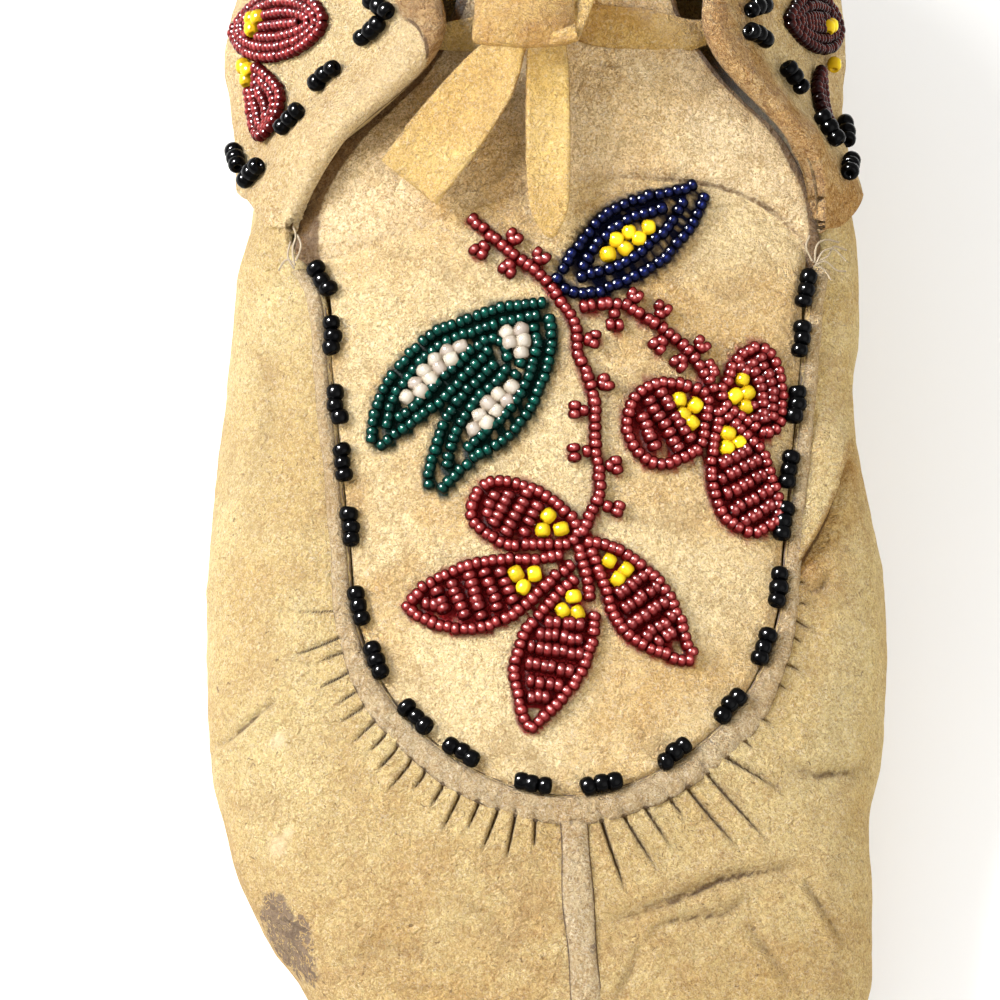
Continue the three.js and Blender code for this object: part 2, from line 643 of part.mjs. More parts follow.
function motif(surface, step, row) {
  const [a0, b0] = row.base;
  const [a1, b1] = row.tip;
  const layer = (rise) => steps(PETAL_MARGIN, 1 - PETAL_MARGIN, COUNTS.petal).map((t) => {
    const a = a0 + (a1 - a0) * t;
    const b = b0 + (b1 - b0) * t;
    const f = frameOn(surface, a, b, step);
    const axis = f.ta.clone().multiplyScalar(a1 - a0).addScaledVector(f.tb, b1 - b0);
    const side = axis.cross(f.n).normalize();
    return [-1, 0, 1].map((s) => {
      const d = slide(f, side, s * row.half * petal(t, row) + row.bow * Math.sin(Math.PI * t));
      return onSurface(surface, step, a + d.a, b + d.b, GAP + rise);
    });
  });
  return sheet(layer(BEADWORK), layer(0));
}

const vampMotif = (row) => motif(vampSurface, VAMP_STEP, row);
const cuffMotif = (row) => motif(cuffTop, CUFF_STEP, row);

function stemStrip(points) {
  const line = curveThrough(points.map(({ x, y }) => new THREE.Vector3(x, y, 0)));
  const count = 2 * points.length;
  const layer = (rise) => steps(0, 1, count).map((t) => {
    const p = line.getPoint(t);
    const along = line.getTangent(t);
    return [-0.5, 0.5].map((s) => (
      overVamp(p.x + s * STEM_WIDTH * along.y, p.y - s * STEM_WIDTH * along.x, GAP + rise)));
  });
  return sheet(layer(BEADWORK), layer(0));
}

function greenLeaves() {
  const [first, second] = GREEN_LEAVES.map((row) => toManifold(vampMotif(row)));
  return fromManifold(first.add(second));
}

// Three beads in a row along a direction, lying on a surface
function beadGroup(foot, normal, direction) {
  const { radius, length, neck, sides } = BLACK_BEAD;
  const profile = [new THREE.Vector2(0, -1.5 * length), new THREE.Vector2(neck, -1.5 * length)];
  [-1, 0, 1].forEach((k) => {
    profile.push(new THREE.Vector2(radius, k * length), new THREE.Vector2(neck, (k + 0.5) * length));
  });
  profile.push(new THREE.Vector2(0, 1.5 * length));
  const along = direction.clone().addScaledVector(normal, -direction.dot(normal)).normalize();
  const turned = new THREE.Matrix4().makeBasis(normal.clone().cross(along), along, normal.clone().negate());
  turned.setPosition(foot.clone().addScaledVector(normal, GAP + radius));
  return solid(triangles(new THREE.LatheGeometry(profile, sides).applyMatrix4(turned)));
}

// Section parameter at a distance along the vamp seam from its tip
function seamParameter(side, distance) {
  const sign = side === 'lateral' ? 1 : -1;
  let u = 0;
  let length = 0;
  while (length < distance) {
    length += rimAt(sign * (u + SEAM_WALK)).sub(rimAt(sign * u)).setZ(0).length();
    u += SEAM_WALK;
  }
  return sign * u;
}

function seamBeads(side, distance) {
  const u = seamParameter(side, distance);
  const rim = rimAt(u);
  const along = rimAt(u + SEAM_STEP).sub(rimAt(u - SEAM_STEP)).normalize();
  const inward = new THREE.Vector3(along.y, -along.x, 0).normalize();
  const foot = rim.addScaledVector(inward, SEAM_BEAD_INSET);
  const f = frameOn(vampSurface, foot.x, foot.y, VAMP_STEP);
  return beadGroup(f.p, f.n, along);
}

function cuffBeads({ at, to }) {
  const f = frameOn(cuffTop, ...at, CUFF_STEP);
  return beadGroup(f.p, f.n, cuffTop(...to).sub(f.p));
}

const group = new THREE.Group();

function add(name, geometry, color, roughness) {
  const material = new THREE.MeshStandardMaterial({ color, roughness, metalness: 0 });
  const mesh = new THREE.Mesh(geometry, material);
  mesh.name = name;
  group.add(mesh);
}

const addHide = (name, geometry, color) => add(name, geometry, color, HIDE_ROUGHNESS);
const addBeads = (name, geometry, color) => add(`bead_${name}`, geometry, color, BEAD_ROUGHNESS);

addHide('upper_and_sole', upperAndSole(), COLOURS.body);
addHide('vamp', sheet(vampRows(0), vampRows(-HIDE)), COLOURS.vamp);
addHide('vamp_welt', vampWelt(), COLOURS.welt);
addHide('toe_seam_welt', toeSeamWelt(), COLOURS.welt);
addHide('tongue', tongue(), COLOURS.tongue);
addHide('cuff', cuffBand(), COLOURS.cuff);
addHide('lace_crossing', laceCrossing(), COLOURS.thong);

// The middle of the shoe's outline, without knot, loop and ends, lies over the origin
const outline = new THREE.Box3();
group.children.forEach((mesh) => outline.expandByObject(mesh));
const middle = outline.getCenter(new THREE.Vector3());
group.position.set(-middle.x, -middle.y, 0);

addHide('lace_knot', laceKnot(), COLOURS.thong);
addHide('lace_loop', laceLoop(), COLOURS.thong);
addHide('lace_end_left', ribbon(END_LEFT, COUNTS.end), COLOURS.thong);
addHide('lace_end_right', ribbon(END_RIGHT, COUNTS.end), COLOURS.thong);

LARGE_FLOWER.forEach((row, i) => addBeads(`flower_large_${i + 1}`, vampMotif(row), COLOURS.red));
SMALL_FLOWER.forEach((row, i) => addBeads(`flower_small_${i + 1}`, vampMotif(row), COLOURS.red));
CUFF_LATERAL.forEach((row, i) => addBeads(`cuff_lateral_${i + 1}`, cuffMotif(row), COLOURS.red));
CUFF_MEDIAL.forEach((row, i) => addBeads(`cuff_medial_${i + 1}`, cuffMotif(row), COLOURS.red));
addBeads('leaf_blue', vampMotif(BLUE_LEAF), COLOURS.navy);
addBeads('leaves_green', greenLeaves(), COLOURS.green);
addBeads('stem', stemStrip(STEM), COLOURS.red);
addBeads('branch', stemStrip(BRANCH), COLOURS.red);
SEAM_BEADS.forEach((row, i) => {
  addBeads(`seam_lateral_${i + 1}`, seamBeads('lateral', row.lateral), COLOURS.black);
  addBeads(`seam_medial_${i + 1}`, seamBeads('medial', row.medial), COLOURS.black);
});
CUFF_BEADS.forEach((row, i) => addBeads(`cuff_${i + 1}`, cuffBeads(row), COLOURS.black));

export default group;
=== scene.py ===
"""A beaded moccasin for the right foot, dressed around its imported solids: hide, seams, tie and beadwork."""

import math
from collections import namedtuple

import bpy
import numpy as np
from numpy.linalg import norm
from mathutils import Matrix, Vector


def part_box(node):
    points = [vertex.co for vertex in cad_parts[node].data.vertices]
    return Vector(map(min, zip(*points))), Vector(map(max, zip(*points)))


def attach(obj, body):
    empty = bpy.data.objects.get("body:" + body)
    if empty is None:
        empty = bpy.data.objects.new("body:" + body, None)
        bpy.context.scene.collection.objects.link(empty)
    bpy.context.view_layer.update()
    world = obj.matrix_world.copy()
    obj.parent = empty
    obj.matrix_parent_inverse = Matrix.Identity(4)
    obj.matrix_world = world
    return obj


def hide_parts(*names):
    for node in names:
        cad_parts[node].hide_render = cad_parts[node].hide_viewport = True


bl_info = {
    "name": "Beaded moccasin",
    "version": (1, 0, 0),
    "blender": (4, 5, 0),
    "location": "3D View > Sidebar > Moccasin",
    "description": "Builds the hide, seams, tie and beadwork of a moccasin around its solids",
    "category": "Object",
}

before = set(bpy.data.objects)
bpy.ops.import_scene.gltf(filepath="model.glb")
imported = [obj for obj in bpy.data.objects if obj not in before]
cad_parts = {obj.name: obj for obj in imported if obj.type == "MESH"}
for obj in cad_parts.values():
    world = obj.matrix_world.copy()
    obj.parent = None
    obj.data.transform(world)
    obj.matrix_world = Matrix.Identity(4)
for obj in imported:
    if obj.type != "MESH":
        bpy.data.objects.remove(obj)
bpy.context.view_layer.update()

# Tables are in millimetres about the middle of the vamp. The shoe's own frame is in metres, with its origin
# under the middle of the whole outline.
MM = 0.001
UP = np.array((0.0, 0.0, 1.0))

# Foot sections from toe to heel, which follow the solids, but for a collar up to 3.3 mm wider in front
Section = namedtuple("Section", "y lateral medial z roll rim_y arrive")
SECTIONS = [Section(*row) for row in (
    (-126, 5, 5, 15, 13, -73.5, 14),
    (-122, -14, 26, 15, 13, -72.2, 14),
    (-112, -30, 42.5, 16, 13, -68, 15),
    (-98, -42, 49.5, 17, 13, -61, 16),
    (-84, -51, 50.3, 18, 14, -53, 17),
    (-68, -57.2, 50.8, 21, 15, -43, 18),
    (-48, -60.4, 54, 24, 16, -32, 19),
    (-27, -61.2, 54.2, 25, 16, -19, 19),
    (-3, -59.3, 48, 28, 16, -3, 20),
    (10, -58, 48.5, 30, 16, 10, 24),
    (21, -56.2, 49, 32, 16, 20, 42),
    (32, -55, 49.4, 34, 16, 30.5, 57),
    (44, -53.6, 48, 36, 15, 42, 61),
    (64, -50, 45.2, 35, 15, 60, 64),
    (92, -42, 39, 31, 14, 85, 66),
    (113, -25, 22, 28, 13, 101, 70),
    (122, -2, -2, 27, 12, 106, 70),
)]
COLLAR_START = 10
Collar = namedtuple("Collar", "rim_lateral rim_medial rim_z hem_lateral hem_medial hem_y hem_z")
COLLAR = [Collar(*row) for row in (
    (-47, 43.2, 66, -53.8, 50, 25, 58.5),
    (-39.8, 39.8, 77, -54.8, 49.4, 34, 56.5),
    (-23.4, 26, 88.5, -55.4, 47, 46, 56),
    (-28.5, 27, 90.5, -57, 47.4, 67, 57),
    (-27.5, 24.5, 88.5, -48, 43.5, 99, 56),
    (-15.5, 12, 87.5, -28, 25, 120, 55),
    (-2, -2, 87, -2, -2, 126, 55),
)]
RING = 2 * (len(SECTIONS) - 1)
HIDE = 1.8
THIN_HIDE = 1.4
THONG = 1.5
GAP = 0.35
WALL_RISE = 0.5
WALL_REACH = 0.44
CUFF_GAP = 0.95
CUFF_FOLD = 0.27
CUFF_LIFT = 0.2
CUFF_DRAPE = 0.42
CORNER_SPAN = 1.25
CORNER_REACH = 0.5

# Vamp
TIP_Y = -73.5
TIP_Z = 45.2
SLOPE = 0.247
BEND = 0.0007
CROWN = 0.0044
ROUND_Y = -38
HALF_WIDTH = 35.5
WIDENING = 0.115
ROUNDNESS = 1.8
TOP_ARCH = 9.5
TOP_PEAK = 0.3
VAMP_TOP = 9.65
VAMP_EASE = 1.2
VAMP_EASE_FROM = 8
VAMP_SEAM_GAP = 0.5

# Sole lifts
Lift = namedtuple("Lift", "start height over")
TOE_SPRING = Lift(-88, 5, 38)
HEEL_LIFT = Lift(98, 1.2, 12)
Arch = namedtuple("Arch", "start end height inner outer")
ARCH = Arch(-15, 58, 2.2, 5, 34)

# Tongue rows: z, or where there is none how far it lies under the vamp
TongueRow = namedtuple("TongueRow", "y z drop half crown shift")
TONGUE = [TongueRow(*row) for row in (
    (15, None, 2.4, 43, 0.0044, -1.4),
    (26, None, 2.6, 41.8, 0.0044, -1.4),
    (34, 79, 0, 35.6, 0.0046, -0.5),
    (42, 84.4, 0, 25, 0.0066, 0),
    (50, 92, 0, 18.2, 0.01, 0),
    (56, 103, 0, 17, 0.012, 0),
)]

# Welts
Welt = namedtuple("Welt", "side toe rise inset narrow_from narrow_to end")
WELT = Welt(1.6, 3.6, 0.9, 0.9, 4, 7.5, 9.4)
ToeWelt = namedtuple("ToeWelt", "width rise low")
TOE_WELT = ToeWelt(5, 1.1, 0.45)

# Gathers round the toe: section and distance below the seam at both ends, and depth
Gather = namedtuple("Gather", "u start u_end end depth")
GATHERS = [Gather(*row) for row in (
    (5.3, 2.4, 5.9, 12, 0.35),
    (4.94, 2.7, 5.46, 14.1, 0.6),
    (4.74, 3.2, 5.04, 9.1, 0.5),
    (4.48, 4, 4.78, 10.8, 0.6),
    (4.18, 4.1, 4.4, 9.1, 0.6),
    (3.94, 4.4, 4.18, 10, 0.65),
    (3.64, 4.7, 3.84, 10.5, 0.65),
    (3.36, 5, 3.48, 8.5, 0.7),
    (3.08, 5.2, 3.24, 10.2, 0.75),
    (2.8, 5.4, 2.96, 10.9, 0.75),
    (2.54, 5.4, 2.62, 8.1, 0.7),
    (2.22, 5.3, 2.3, 8.8, 0.8),
    (1.94, 5.2, 2.04, 10.8, 0.9),
    (1.63, 4.8, 1.7, 9, 0.9),
    (1.32, 4.6, 1.44, 11.4, 1),
    (1.03, 4.5, 1.08, 11.6, 1),
    (0.67, 4.5, 0.66, 8.6, 0.9),
    (-0.56, 4.4, -0.67, 16, 1.1),
    (-0.96, 4.4, -1.17, 13.6, 1),
    (-1.32, 4.2, -1.46, 11, 1),
    (-1.7, 4, -1.8, 8, 0.7),
    (-2.02, 4, -2.27, 16.6, 1.1),
    (-2.38, 4, -2.66, 18, 1),
    (-2.74, 4, -3.28, 14, 1.1),
    (-3.12, 3.8, -3.24, 6.5, 0.6),
    (-3.62, 3.6, -3.8, 6.6, 0.6),
    (-4.24, 3.2, -4.44, 6.4, 0.55),
    (-4.58, 3, -4.92, 8.6, 0.65),
    (-5, 3, -5.2, 7, 0.55),
    (-5.24, 2.8, -5.5, 8.6, 0.6),
    (-5.44, 2.4, -5.76, 7.2, 0.55),
    (-5.72, 2.2, -5.9, 5.2, 0.45),
)]

# Main creases on the body, as lines in plan, with depth, width and the height and side of the ridge along
# them
Crease = namedtuple("Crease", "line depth width ridge side")
CREASES = [
    Crease([(3, -93.6), (9, -92), (16, -89.6), (25, -85.6), (30, -84.2), (35.5, -83), (39, -82.7)],
           0.9, 1, 0.6, -1),
    Crease([(11.5, -95), (16.5, -92.4), (25, -91), (30.5, -87.4)], 0.7, 0.9, 0.3, -1),
    Crease([(37.5, -83.6), (41, -88), (45.5, -93.5)], 0.6, 0.9, 0.4, 1),
    Crease([(28, -91.3), (32, -96), (36.5, -101)], 0.5, 0.9, 0.3, 1),
    Crease([(12, -96), (10, -100), (7.4, -105)], 0.5, 0.8, 0.3, 1),
    Crease([(33, -66), (41, -67.4), (47, -65), (52, -61)], 0.6, 1.3, 0.4, -1),
    Crease([(-59.5, -57.6), (-55.7, -57.9), (-53, -57), (-50.2, -55.7), (-46.9, -54.2)], 0.7, 0.8, 0.4, 1),
    Crease([(39.5, -38.5), (42, -37.5), (43.6, -34.5)], 0.6, 0.8, 0.3, 1),
    Crease([(-52, -20), (-50, -6), (-50.5, 6)], 0.35, 3, 0.2, 1),
    Crease([(-38, -97), (-30, -95), (-22, -96.5)], 0.4, 1.6, 0.3, 1),
    Crease([(-20, -88), (-13, -91.5), (-9, -97)], 0.35, 1.4, 0.25, 1),
]

# Lap on the medial side, where the hide folds over itself: its edge in plan, height and reach toward the
# seam
Lap = namedtuple("Lap", "line height reach")
LAP = Lap([(48.6, -6), (47.4, -10.5), (46.2, -14.8), (45, -18.4), (44.1, -21.7), (42.7, -25.4), (41, -28.9),
           (38.3, -33.4), (36.6, -35.8)], 2.3, 9)

# Frayed thread ends at the two corners of the vamp seam
FRAYED_ENDS = [
    [(-45.2, 13.5, 66.2), (-45.6, 16, 67.2), (-45.1, 18.5, 67.6), (-45.8, 21, 67.2)],
    [(-45.3, 13, 66), (-46.4, 15.2, 66.4), (-46, 17.8, 66.8)],
    [(-45, 14.2, 66.5), (-44.2, 16.4, 67.6), (-44.8, 18.4, 68)],
    [(-45.2, 14, 66.2), (-46.8, 14.8, 65.8), (-48, 13.2, 65)],
    [(41.6, 13.5, 66.4), (42.8, 15.6, 67.2), (44.8, 16.4, 66.6), (46.8, 15.2, 65)],
    [(41.4, 13.8, 66.6), (41.8, 16.4, 67.8), (43.4, 17.8, 67.4), (45.6, 18.2, 66)],
    [(41.2, 13.2, 66.4), (43.2, 14.2, 66.4), (45.2, 13.2, 65.2), (46.8, 13.6, 64.2)],
    [(41, 14, 66.8), (40, 16, 68), (40.6, 18, 68.4)],
    [(41.6, 14, 66.5), (43.6, 15, 66.6), (44.8, 17.2, 66.2), (47, 17.4, 64.8)],
    [(41.6, 13.6, 66.2), (43, 13, 65.8), (44.2, 11.4, 65)],
]

# Pale scuffs on the toe: plan place and size
SCUFFS = [(-47.4, -60.9, 1.3), (-47.3, -76.8, 1.7), (-45.6, -75.4, 1)]

# Motif charts on the vamp: closed outlines, open rows and single beads, in millimetres
RED_OUTLINES = [
    [(0.4, -33.6), (-4.9, -33.7), (-9.8, -33.6), (-14, -31), (-15.6, -27.7), (-13.3, -23.9), (-8, -24.1),
     (-2.3, -26.9), (1.3, -30.6)],
    [(22.8, -9.2), (20.6, -8), (17.7, -7.6), (14.9, -7.6), (12, -9.5), (10.4, -11.7), (9.9, -14.1),
     (10.1, -16.4), (11.5, -18.7), (13.4, -20.4), (15.4, -20.7), (18.1, -19.7), (20.7, -18.2),
     (21.9, -16.5), (22.4, -14.2), (22.8, -11.6)],
    [(25.4, -8.4), (26.8, -5.5), (27.6, -3.4), (29.4, -1.3), (31.7, -0.4), (33.4, -1.2), (34.5, -2.7),
     (35.1, -4.9), (35.4, -7.3), (35.2, -9.4), (34.9, -11.5), (33.8, -13.3), (32, -13.9), (30.3, -12.9),
     (28.6, -11.7), (26.5, -10.6)],
    [(24.8, -11), (24.8, -13.5), (24.2, -15.6), (23.6, -18.6), (23.5, -21.1), (23.7, -23.2),
     (24.2, -25.4), (25.1, -27.4), (27, -29.1), (28.9, -30.1), (30.8, -30), (32.7, -29), (34.1, -27.4),
     (34.5, -25.1), (34, -22.7), (33.3, -20.5), (32.7, -18.3), (31.6, -16.6), (30, -15.2), (28.1, -13.6),
     (26.6, -12.4)],
]
RED_EDGES = [
    [(-1.4, -35.5), (-5.8, -36.1), (-12, -36.1), (-17.6, -37.1), (-22.6, -39.3), (-25.2, -41.3),
     (-26, -42.3)],
    [(-25.2, -43.3), (-20.3, -45.9), (-14.7, -46.7), (-9.5, -45.1), (-4.9, -41.6), (-1.8, -38.6),
     (0.4, -37.2)],
    [(0.9, -39.4), (-3, -43.1), (-6.6, -47.5), (-8.5, -52.6), (-8.3, -56.2), (-7.2, -61.2),
     (-6.5, -62.6)],
    [(-5.6, -62.8), (-1.5, -58.7), (1.9, -54.4), (3.8, -49), (4.3, -45.2)],
    [(3.5, -42.1), (3.1, -38.8), (1.8, -34.4)],
    [(4, -35.2), (5.9, -39.6), (7.1, -44.3), (10.2, -48.4), (15.3, -50.6), (18.3, -51.5), (19.6, -51.4)],
    [(3.3, -33.4), (7, -34), (12.1, -37), (15.8, -40.7), (18.1, -45.4), (19.4, -49.2), (19.9, -50.3)],
]
RED_FILLING = [
    [(-13, -28.4), (-12, -26)], [(-11.9, -30.2), (-9.4, -25.8)], [(-9.8, -31.6), (-6.6, -25.8)],
    [(-7, -31.6), (-4.8, -27.6)], [(-22.6, -42.2), (-21.4, -42.4)], [(-20.9, -40.6), (-19.8, -43.4)],
    [(-18.5, -39.3), (-16.7, -44.5)], [(-15.9, -38.4), (-13.9, -44.7)], [(-13.3, -38), (-11.1, -43.6)],
    [(-10.7, -38.2), (-8.9, -42.4)], [(-3, -46.2), (2, -46.6)], [(-4.5, -48), (1.8, -48.9)],
    [(-5.8, -50.1), (1.8, -51.3)], [(-6.3, -52.5), (0.2, -53.9)], [(-6, -55.5), (-1.4, -56.2)],
    [(-6, -58.1), (-3.6, -57.9)], [(8.2, -41.6), (11.9, -38.6)], [(9, -43.9), (14.1, -40.4)],
    [(10.2, -46.2), (15.4, -42.6)], [(12.5, -48), (16.5, -45)], [(14.6, -48.8), (16.8, -47.4)],
    [(12.2, -13.4), (14.2, -17.8)], [(13.4, -10.8), (18.1, -17.8)], [(15.3, -9.3), (19.9, -16.2)],
    [(28.6, -3.9), (29.2, -4.3)], [(30.4, -10), (30.7, -11.7)], [(30.2, -3.3), (31.8, -7.2), (32.2, -12)],
    [(31.7, -2.2), (33.7, -6.7), (33.5, -11.2)], [(25.2, -19.7), (29.4, -17)],
    [(25.3, -22), (30.9, -18.6)], [(26, -24.4), (31.9, -20.8)], [(26.9, -27), (32.8, -23)],
    [(28.8, -28.4), (33, -25.5)],
]
STEM = [(-15.5, 18.2), (-9.8, 13.1), (-4.1, 8.7), (1.2, 1.4), (1.8, -3.5), (4.3, -10.1), (4.5, -17.4),
        (5.2, -22), (4.9, -26.5), (2.4, -31.8)]
BRANCH = [(2.8, 4), (8.8, 4.6), (12, 2.9), (15.6, 1.1), (20.7, -3.1), (24, -7.8)]
SPRIGS = [(-8.5, 15.3), (-14.5, 12.9), (-9.7, 9.8), (-4.1, 12), (4.5, -1.3), (6.3, -8), (1.3, -12.5),
          (1.1, -19.4), (8, -21.1), (8.1, -28.1), (11.3, 6.1), (15.7, 4.3), (7.9, 1.2), (14.7, -1.9),
          (18.2, -4.4), (22.2, -1), (23.7, -4.7)]
GREEN_ROWS = [
    [(-4.1, 4.6), (-10.4, 3.9), (-16.4, 2.4), (-21.7, 0.7), (-26.1, -2.6), (-29.6, -6.7), (-31.2, -10.3),
     (-32, -15)],
    [(-30.4, -16.1), (-26.8, -14.2), (-23.3, -11.8), (-19.8, -9.5), (-16.4, -6.2), (-12.9, -2.8)],
    [(-4.9, 2.6), (-9.9, 1.8), (-15.2, 0.5), (-19.6, -0.9), (-23.3, -2.9), (-25.9, -5.8), (-28.3, -8.8),
     (-29.4, -13)],
    [(-27.4, -12), (-24.5, -10.2), (-21.7, -7.8), (-18.2, -4.7), (-15.2, -2.3), (-12.5, -0.8),
     (-10.2, -2), (-9.6, -3.9)],
    [(-2.9, 2), (-2.5, -2.3), (-3.7, -7.2), (-6.5, -12.9), (-10.4, -17), (-15.2, -19.6), (-18.2, -22.1),
     (-20.2, -24.1)],
    [(-5.2, 0.6), (-4.9, -2.7), (-6.6, -8), (-9.9, -12.8), (-13.1, -15.4), (-16.1, -17.9)],
    [(-12.1, -5), (-14.8, -7.6), (-17.8, -10.3), (-20.1, -13.7), (-21.2, -16.9), (-22.4, -20),
     (-22.7, -23.2)],
    [(-9.9, -5.8), (-12, -8.2), (-14.5, -10.2), (-16.8, -13.1), (-18.2, -15.8), (-19.6, -20.4)],
]
GREEN_SINGLES = [(-7.6, -4.8), (-8.3, -6.8)]
BLUE_ROWS = [
    [(-1.6, 8.5), (1.3, 12.7), (5.9, 18.2), (11.6, 21.2), (18.1, 22.9), (20.8, 24.1)],
    [(22.8, 22.4), (20.7, 18.2), (16.1, 12.3), (8.8, 7.8), (3.2, 6), (-0.4, 6.7)],
    [(2.6, 10.5), (5.4, 14.4), (9.3, 17.5), (15.4, 20)],
    [(19.3, 21.1), (15.9, 16.3), (11.1, 12.1), (7.3, 10.1), (2.4, 8.7)],
]
WHITE_BEADS = [(-26, -9.1), (-24.6, -7), (-23.7, -8.3), (-23.2, -5.2), (-22.2, -6.5), (-21.4, -3.5),
               (-20.7, -4.9), (-19.4, -2.3), (-18.8, -3.7), (-17.3, -1.9), (-9, -8.7), (-11.2, -9.7),
               (-9.8, -10.8), (-12.8, -11.2), (-11.5, -12.4), (-14.2, -12.9), (-13, -14.2), (-15.1, -15),
               (-9.8, 0), (-9.2, -1.7), (-7.4, 0.2), (-7.1, -1.5), (-7.4, -3.2)]
YELLOW_BEADS = [(-3.1, -29.3), (-4, -31.5), (-1, -31.4), (-8.4, -38.4), (-5.4, -38.4), (-7.2, -40.5),
                (1, -42), (-0.8, -44.3), (1.6, -44.7), (6.7, -36.4), (9.4, -37.7), (8.1, -39.1),
                (18.3, -10.2), (20.9, -10.8), (18.9, -12.4), (20.3, -13.7), (28.7, -6.1), (27.5, -8.6),
                (29.5, -7.9), (29.2, -10.1), (26.3, -14.8), (28, -16.2), (26, -17.1), (6.8, 12.3),
                (8.2, 14.5), (9.6, 13.3), (10.3, 15.8), (11.8, 14.9), (13.4, 16.9)]
BLUE_HEARTS = 6

# Groups of three black beads: millimetres along the seam from the vamp's tip, and places on the cuff
SEAM_LATERAL = [6, 19, 29, 41, 51, 64, 74.5, 84, 95.4, 104.4]
SEAM_MEDIAL = [5.6, 19, 31.6, 43.6, 54.2, 65, 73.4, 84.2, 94.8, 102.8]
SEAM_BEAD_INSET = 1.3
CuffGroup = namedtuple("CuffGroup", "u w to_u to_w")
CUFF_GROUPS = [CuffGroup(*row) for row in (
    (12.14, 0.47, 12.08, 0.52),
    (11.84, 0.62, 11.8, 0.66),
    (11.39, 0.665, 11.28, 0.695),
    (10.84, 0.79, 10.72, 0.875),
    (19.9, 0.45, 19.89, 0.5),
    (20.16, 0.62, 20.25, 0.65),
    (20.74, 0.64, 20.88, 0.635),
    (21.13, 0.7, 21.3, 0.62),
    (12.35, 0.415, 12.25, 0.39),
    (11.46, 0.953, 11.23, 0.927),
    (19.6, 0.445, 19.47, 0.5),
    (20.16, 0.938, 20.38, 0.915),
)]

# Petals on the cuff: section and part of the way to the hem at both ends, half width and belly
CuffPetal = namedtuple("CuffPetal", "u w tip_u tip_w half belly")
LATERAL_PETALS = [
    CuffPetal(12.9, 0.95, 12.46, 0.61, 6.4, 0.6),
    CuffPetal(12.56, 0.9, 11.46, 0.81, 5.1, 0.6),
]
MEDIAL_PETALS = [
    CuffPetal(19.5, 0.62, 19.06, 0.93, 5.4, 0.5),
    CuffPetal(19.6, 0.825, 20.42, 0.79, 2.2, 0.5),
]
CUFF_YELLOW = [(12.83, 0.85), (12.79, 0.82), (12.75, 0.85), (12.5, 0.9), (12.43, 0.885), (12.37, 0.9),
               (19.19, 0.85), (19.23, 0.83), (19.5, 0.875)]

# Bead sizes: width across the thread and length along it
BeadSize = namedtuple("BeadSize", "width length")
RED_BEAD = BeadSize(2.3, 1.34)
FILL_BEAD = BeadSize(2.65, 1.34)
GREEN_BEAD = BeadSize(2.15, 1.35)
BLUE_BEAD = BeadSize(2.2, 1.5)
LARGE_BEAD = BeadSize(2.6, 2.1)
BLACK_BEAD = BeadSize(3.1, 2.05)
CUFF_BEAD = BeadSize(2.2, 1.36)
CUFF_ROW = 1.75
CROWD = 1.14
BLACK_SIDES = 18

# How the beads are sewn: part of the width at which their middle lies above the hide, heights of two kinds,
# and the spread of places, heights, tilts and sizes
SEAT = 0.42
SINGLE_SEAT = 0.44
GROUP_SEAT = 0.46
CUFF_YELLOW_LIFT = 1.5
SEAM_GROUP_LIFT = -0.35
STEP_SPREAD = 0.05
ROW_JITTER = 0.09
SPRIG_JITTER = 0.12
SINGLE_JITTER = 0.05
LIFT_SPREAD = 0.06
CUFF_LIFT_SPREAD = 0.05
TILT_SPREAD = 0.07
LENGTH_SPREAD = 0.06
WIDTH_SPREAD = 0.045
GROUP_STEP_SPREAD = 0.1
GROUP_SIDE_SPREAD = 0.16
GROUP_TILT_SPREAD = 0.12

# Sprigs: distance of the first bead from the stem, and half the distance between the two at the tip
SPRIG_REACH = 1.75
SPRIG_HALF = 0.72

# Roundness of a cuff petal at its base and its tip
PETAL_BASE = 0.7
PETAL_TIP = 0.5
PETAL_STEPS = 15

# Soft unevenness: number of waves, spread of their lengths, length and strength of their bends, and the sum
# that counts as 1
WAVES = 7
WAVE_SPREAD = (0.6, 1.6)
WAVE_BEND_LENGTH = 2.3
WAVE_BEND = 1.4
WAVE_SUM = 4

# Steps between the control points of a line, and the distance over which its direction is taken
LINE_STEPS = 60
LINE_REACH = 0.2

# Tie: points with width and the direction across the thong
TiePoint = namedtuple("TiePoint", "x y z width across")
ALONG_FOOT = (0.0, 0.72, 0.69)
SIDEWAYS = (1.0, 0.0, 0.0)
SLANTED = (0.85, -0.52, 0.05)
TIE_LEFT = [TiePoint(*row) for row in (
    (-27.9, 48.1, 84.7, 3.4, ALONG_FOOT),
    (-23.4, 47.8, 84.9, 3.6, ALONG_FOOT),
    (-20, 45.8, 86.3, 4.2, ALONG_FOOT),
    (-11, 45.4, 89, 6.2, ALONG_FOOT),
    (-6.4, 45.6, 94.6, 5, (0.6, 0.55, 0.55)),
    (-5.4, 48, 99.2, 9, (0.9, -0.42, 0)),
    (-2.6, 45.5, 100.6, 14, (0.83, -0.55, 0)),
    (-5.8, 36.5, 100.7, 16, (0.97, -0.22, 0)),
    (-7, 33.1, 102.4, 16.4, SIDEWAYS),
    (-7, 36.5, 104.7, 16, SIDEWAYS),
    (-7, 45.5, 104.8, 15, SIDEWAYS),
    (-6.8, 48.6, 102, 11, SIDEWAYS),
    (-6.6, 45.4, 97.8, 5, SIDEWAYS),
    (-8.6, 40.4, 94.2, 5.4, SLANTED),
    (-12.6, 35.6, 88.6, 10, SLANTED),
    (-19.4, 28.8, 82.4, 12, SLANTED),
    (-25.4, 22.6, 77.4, 12, SLANTED),
)]
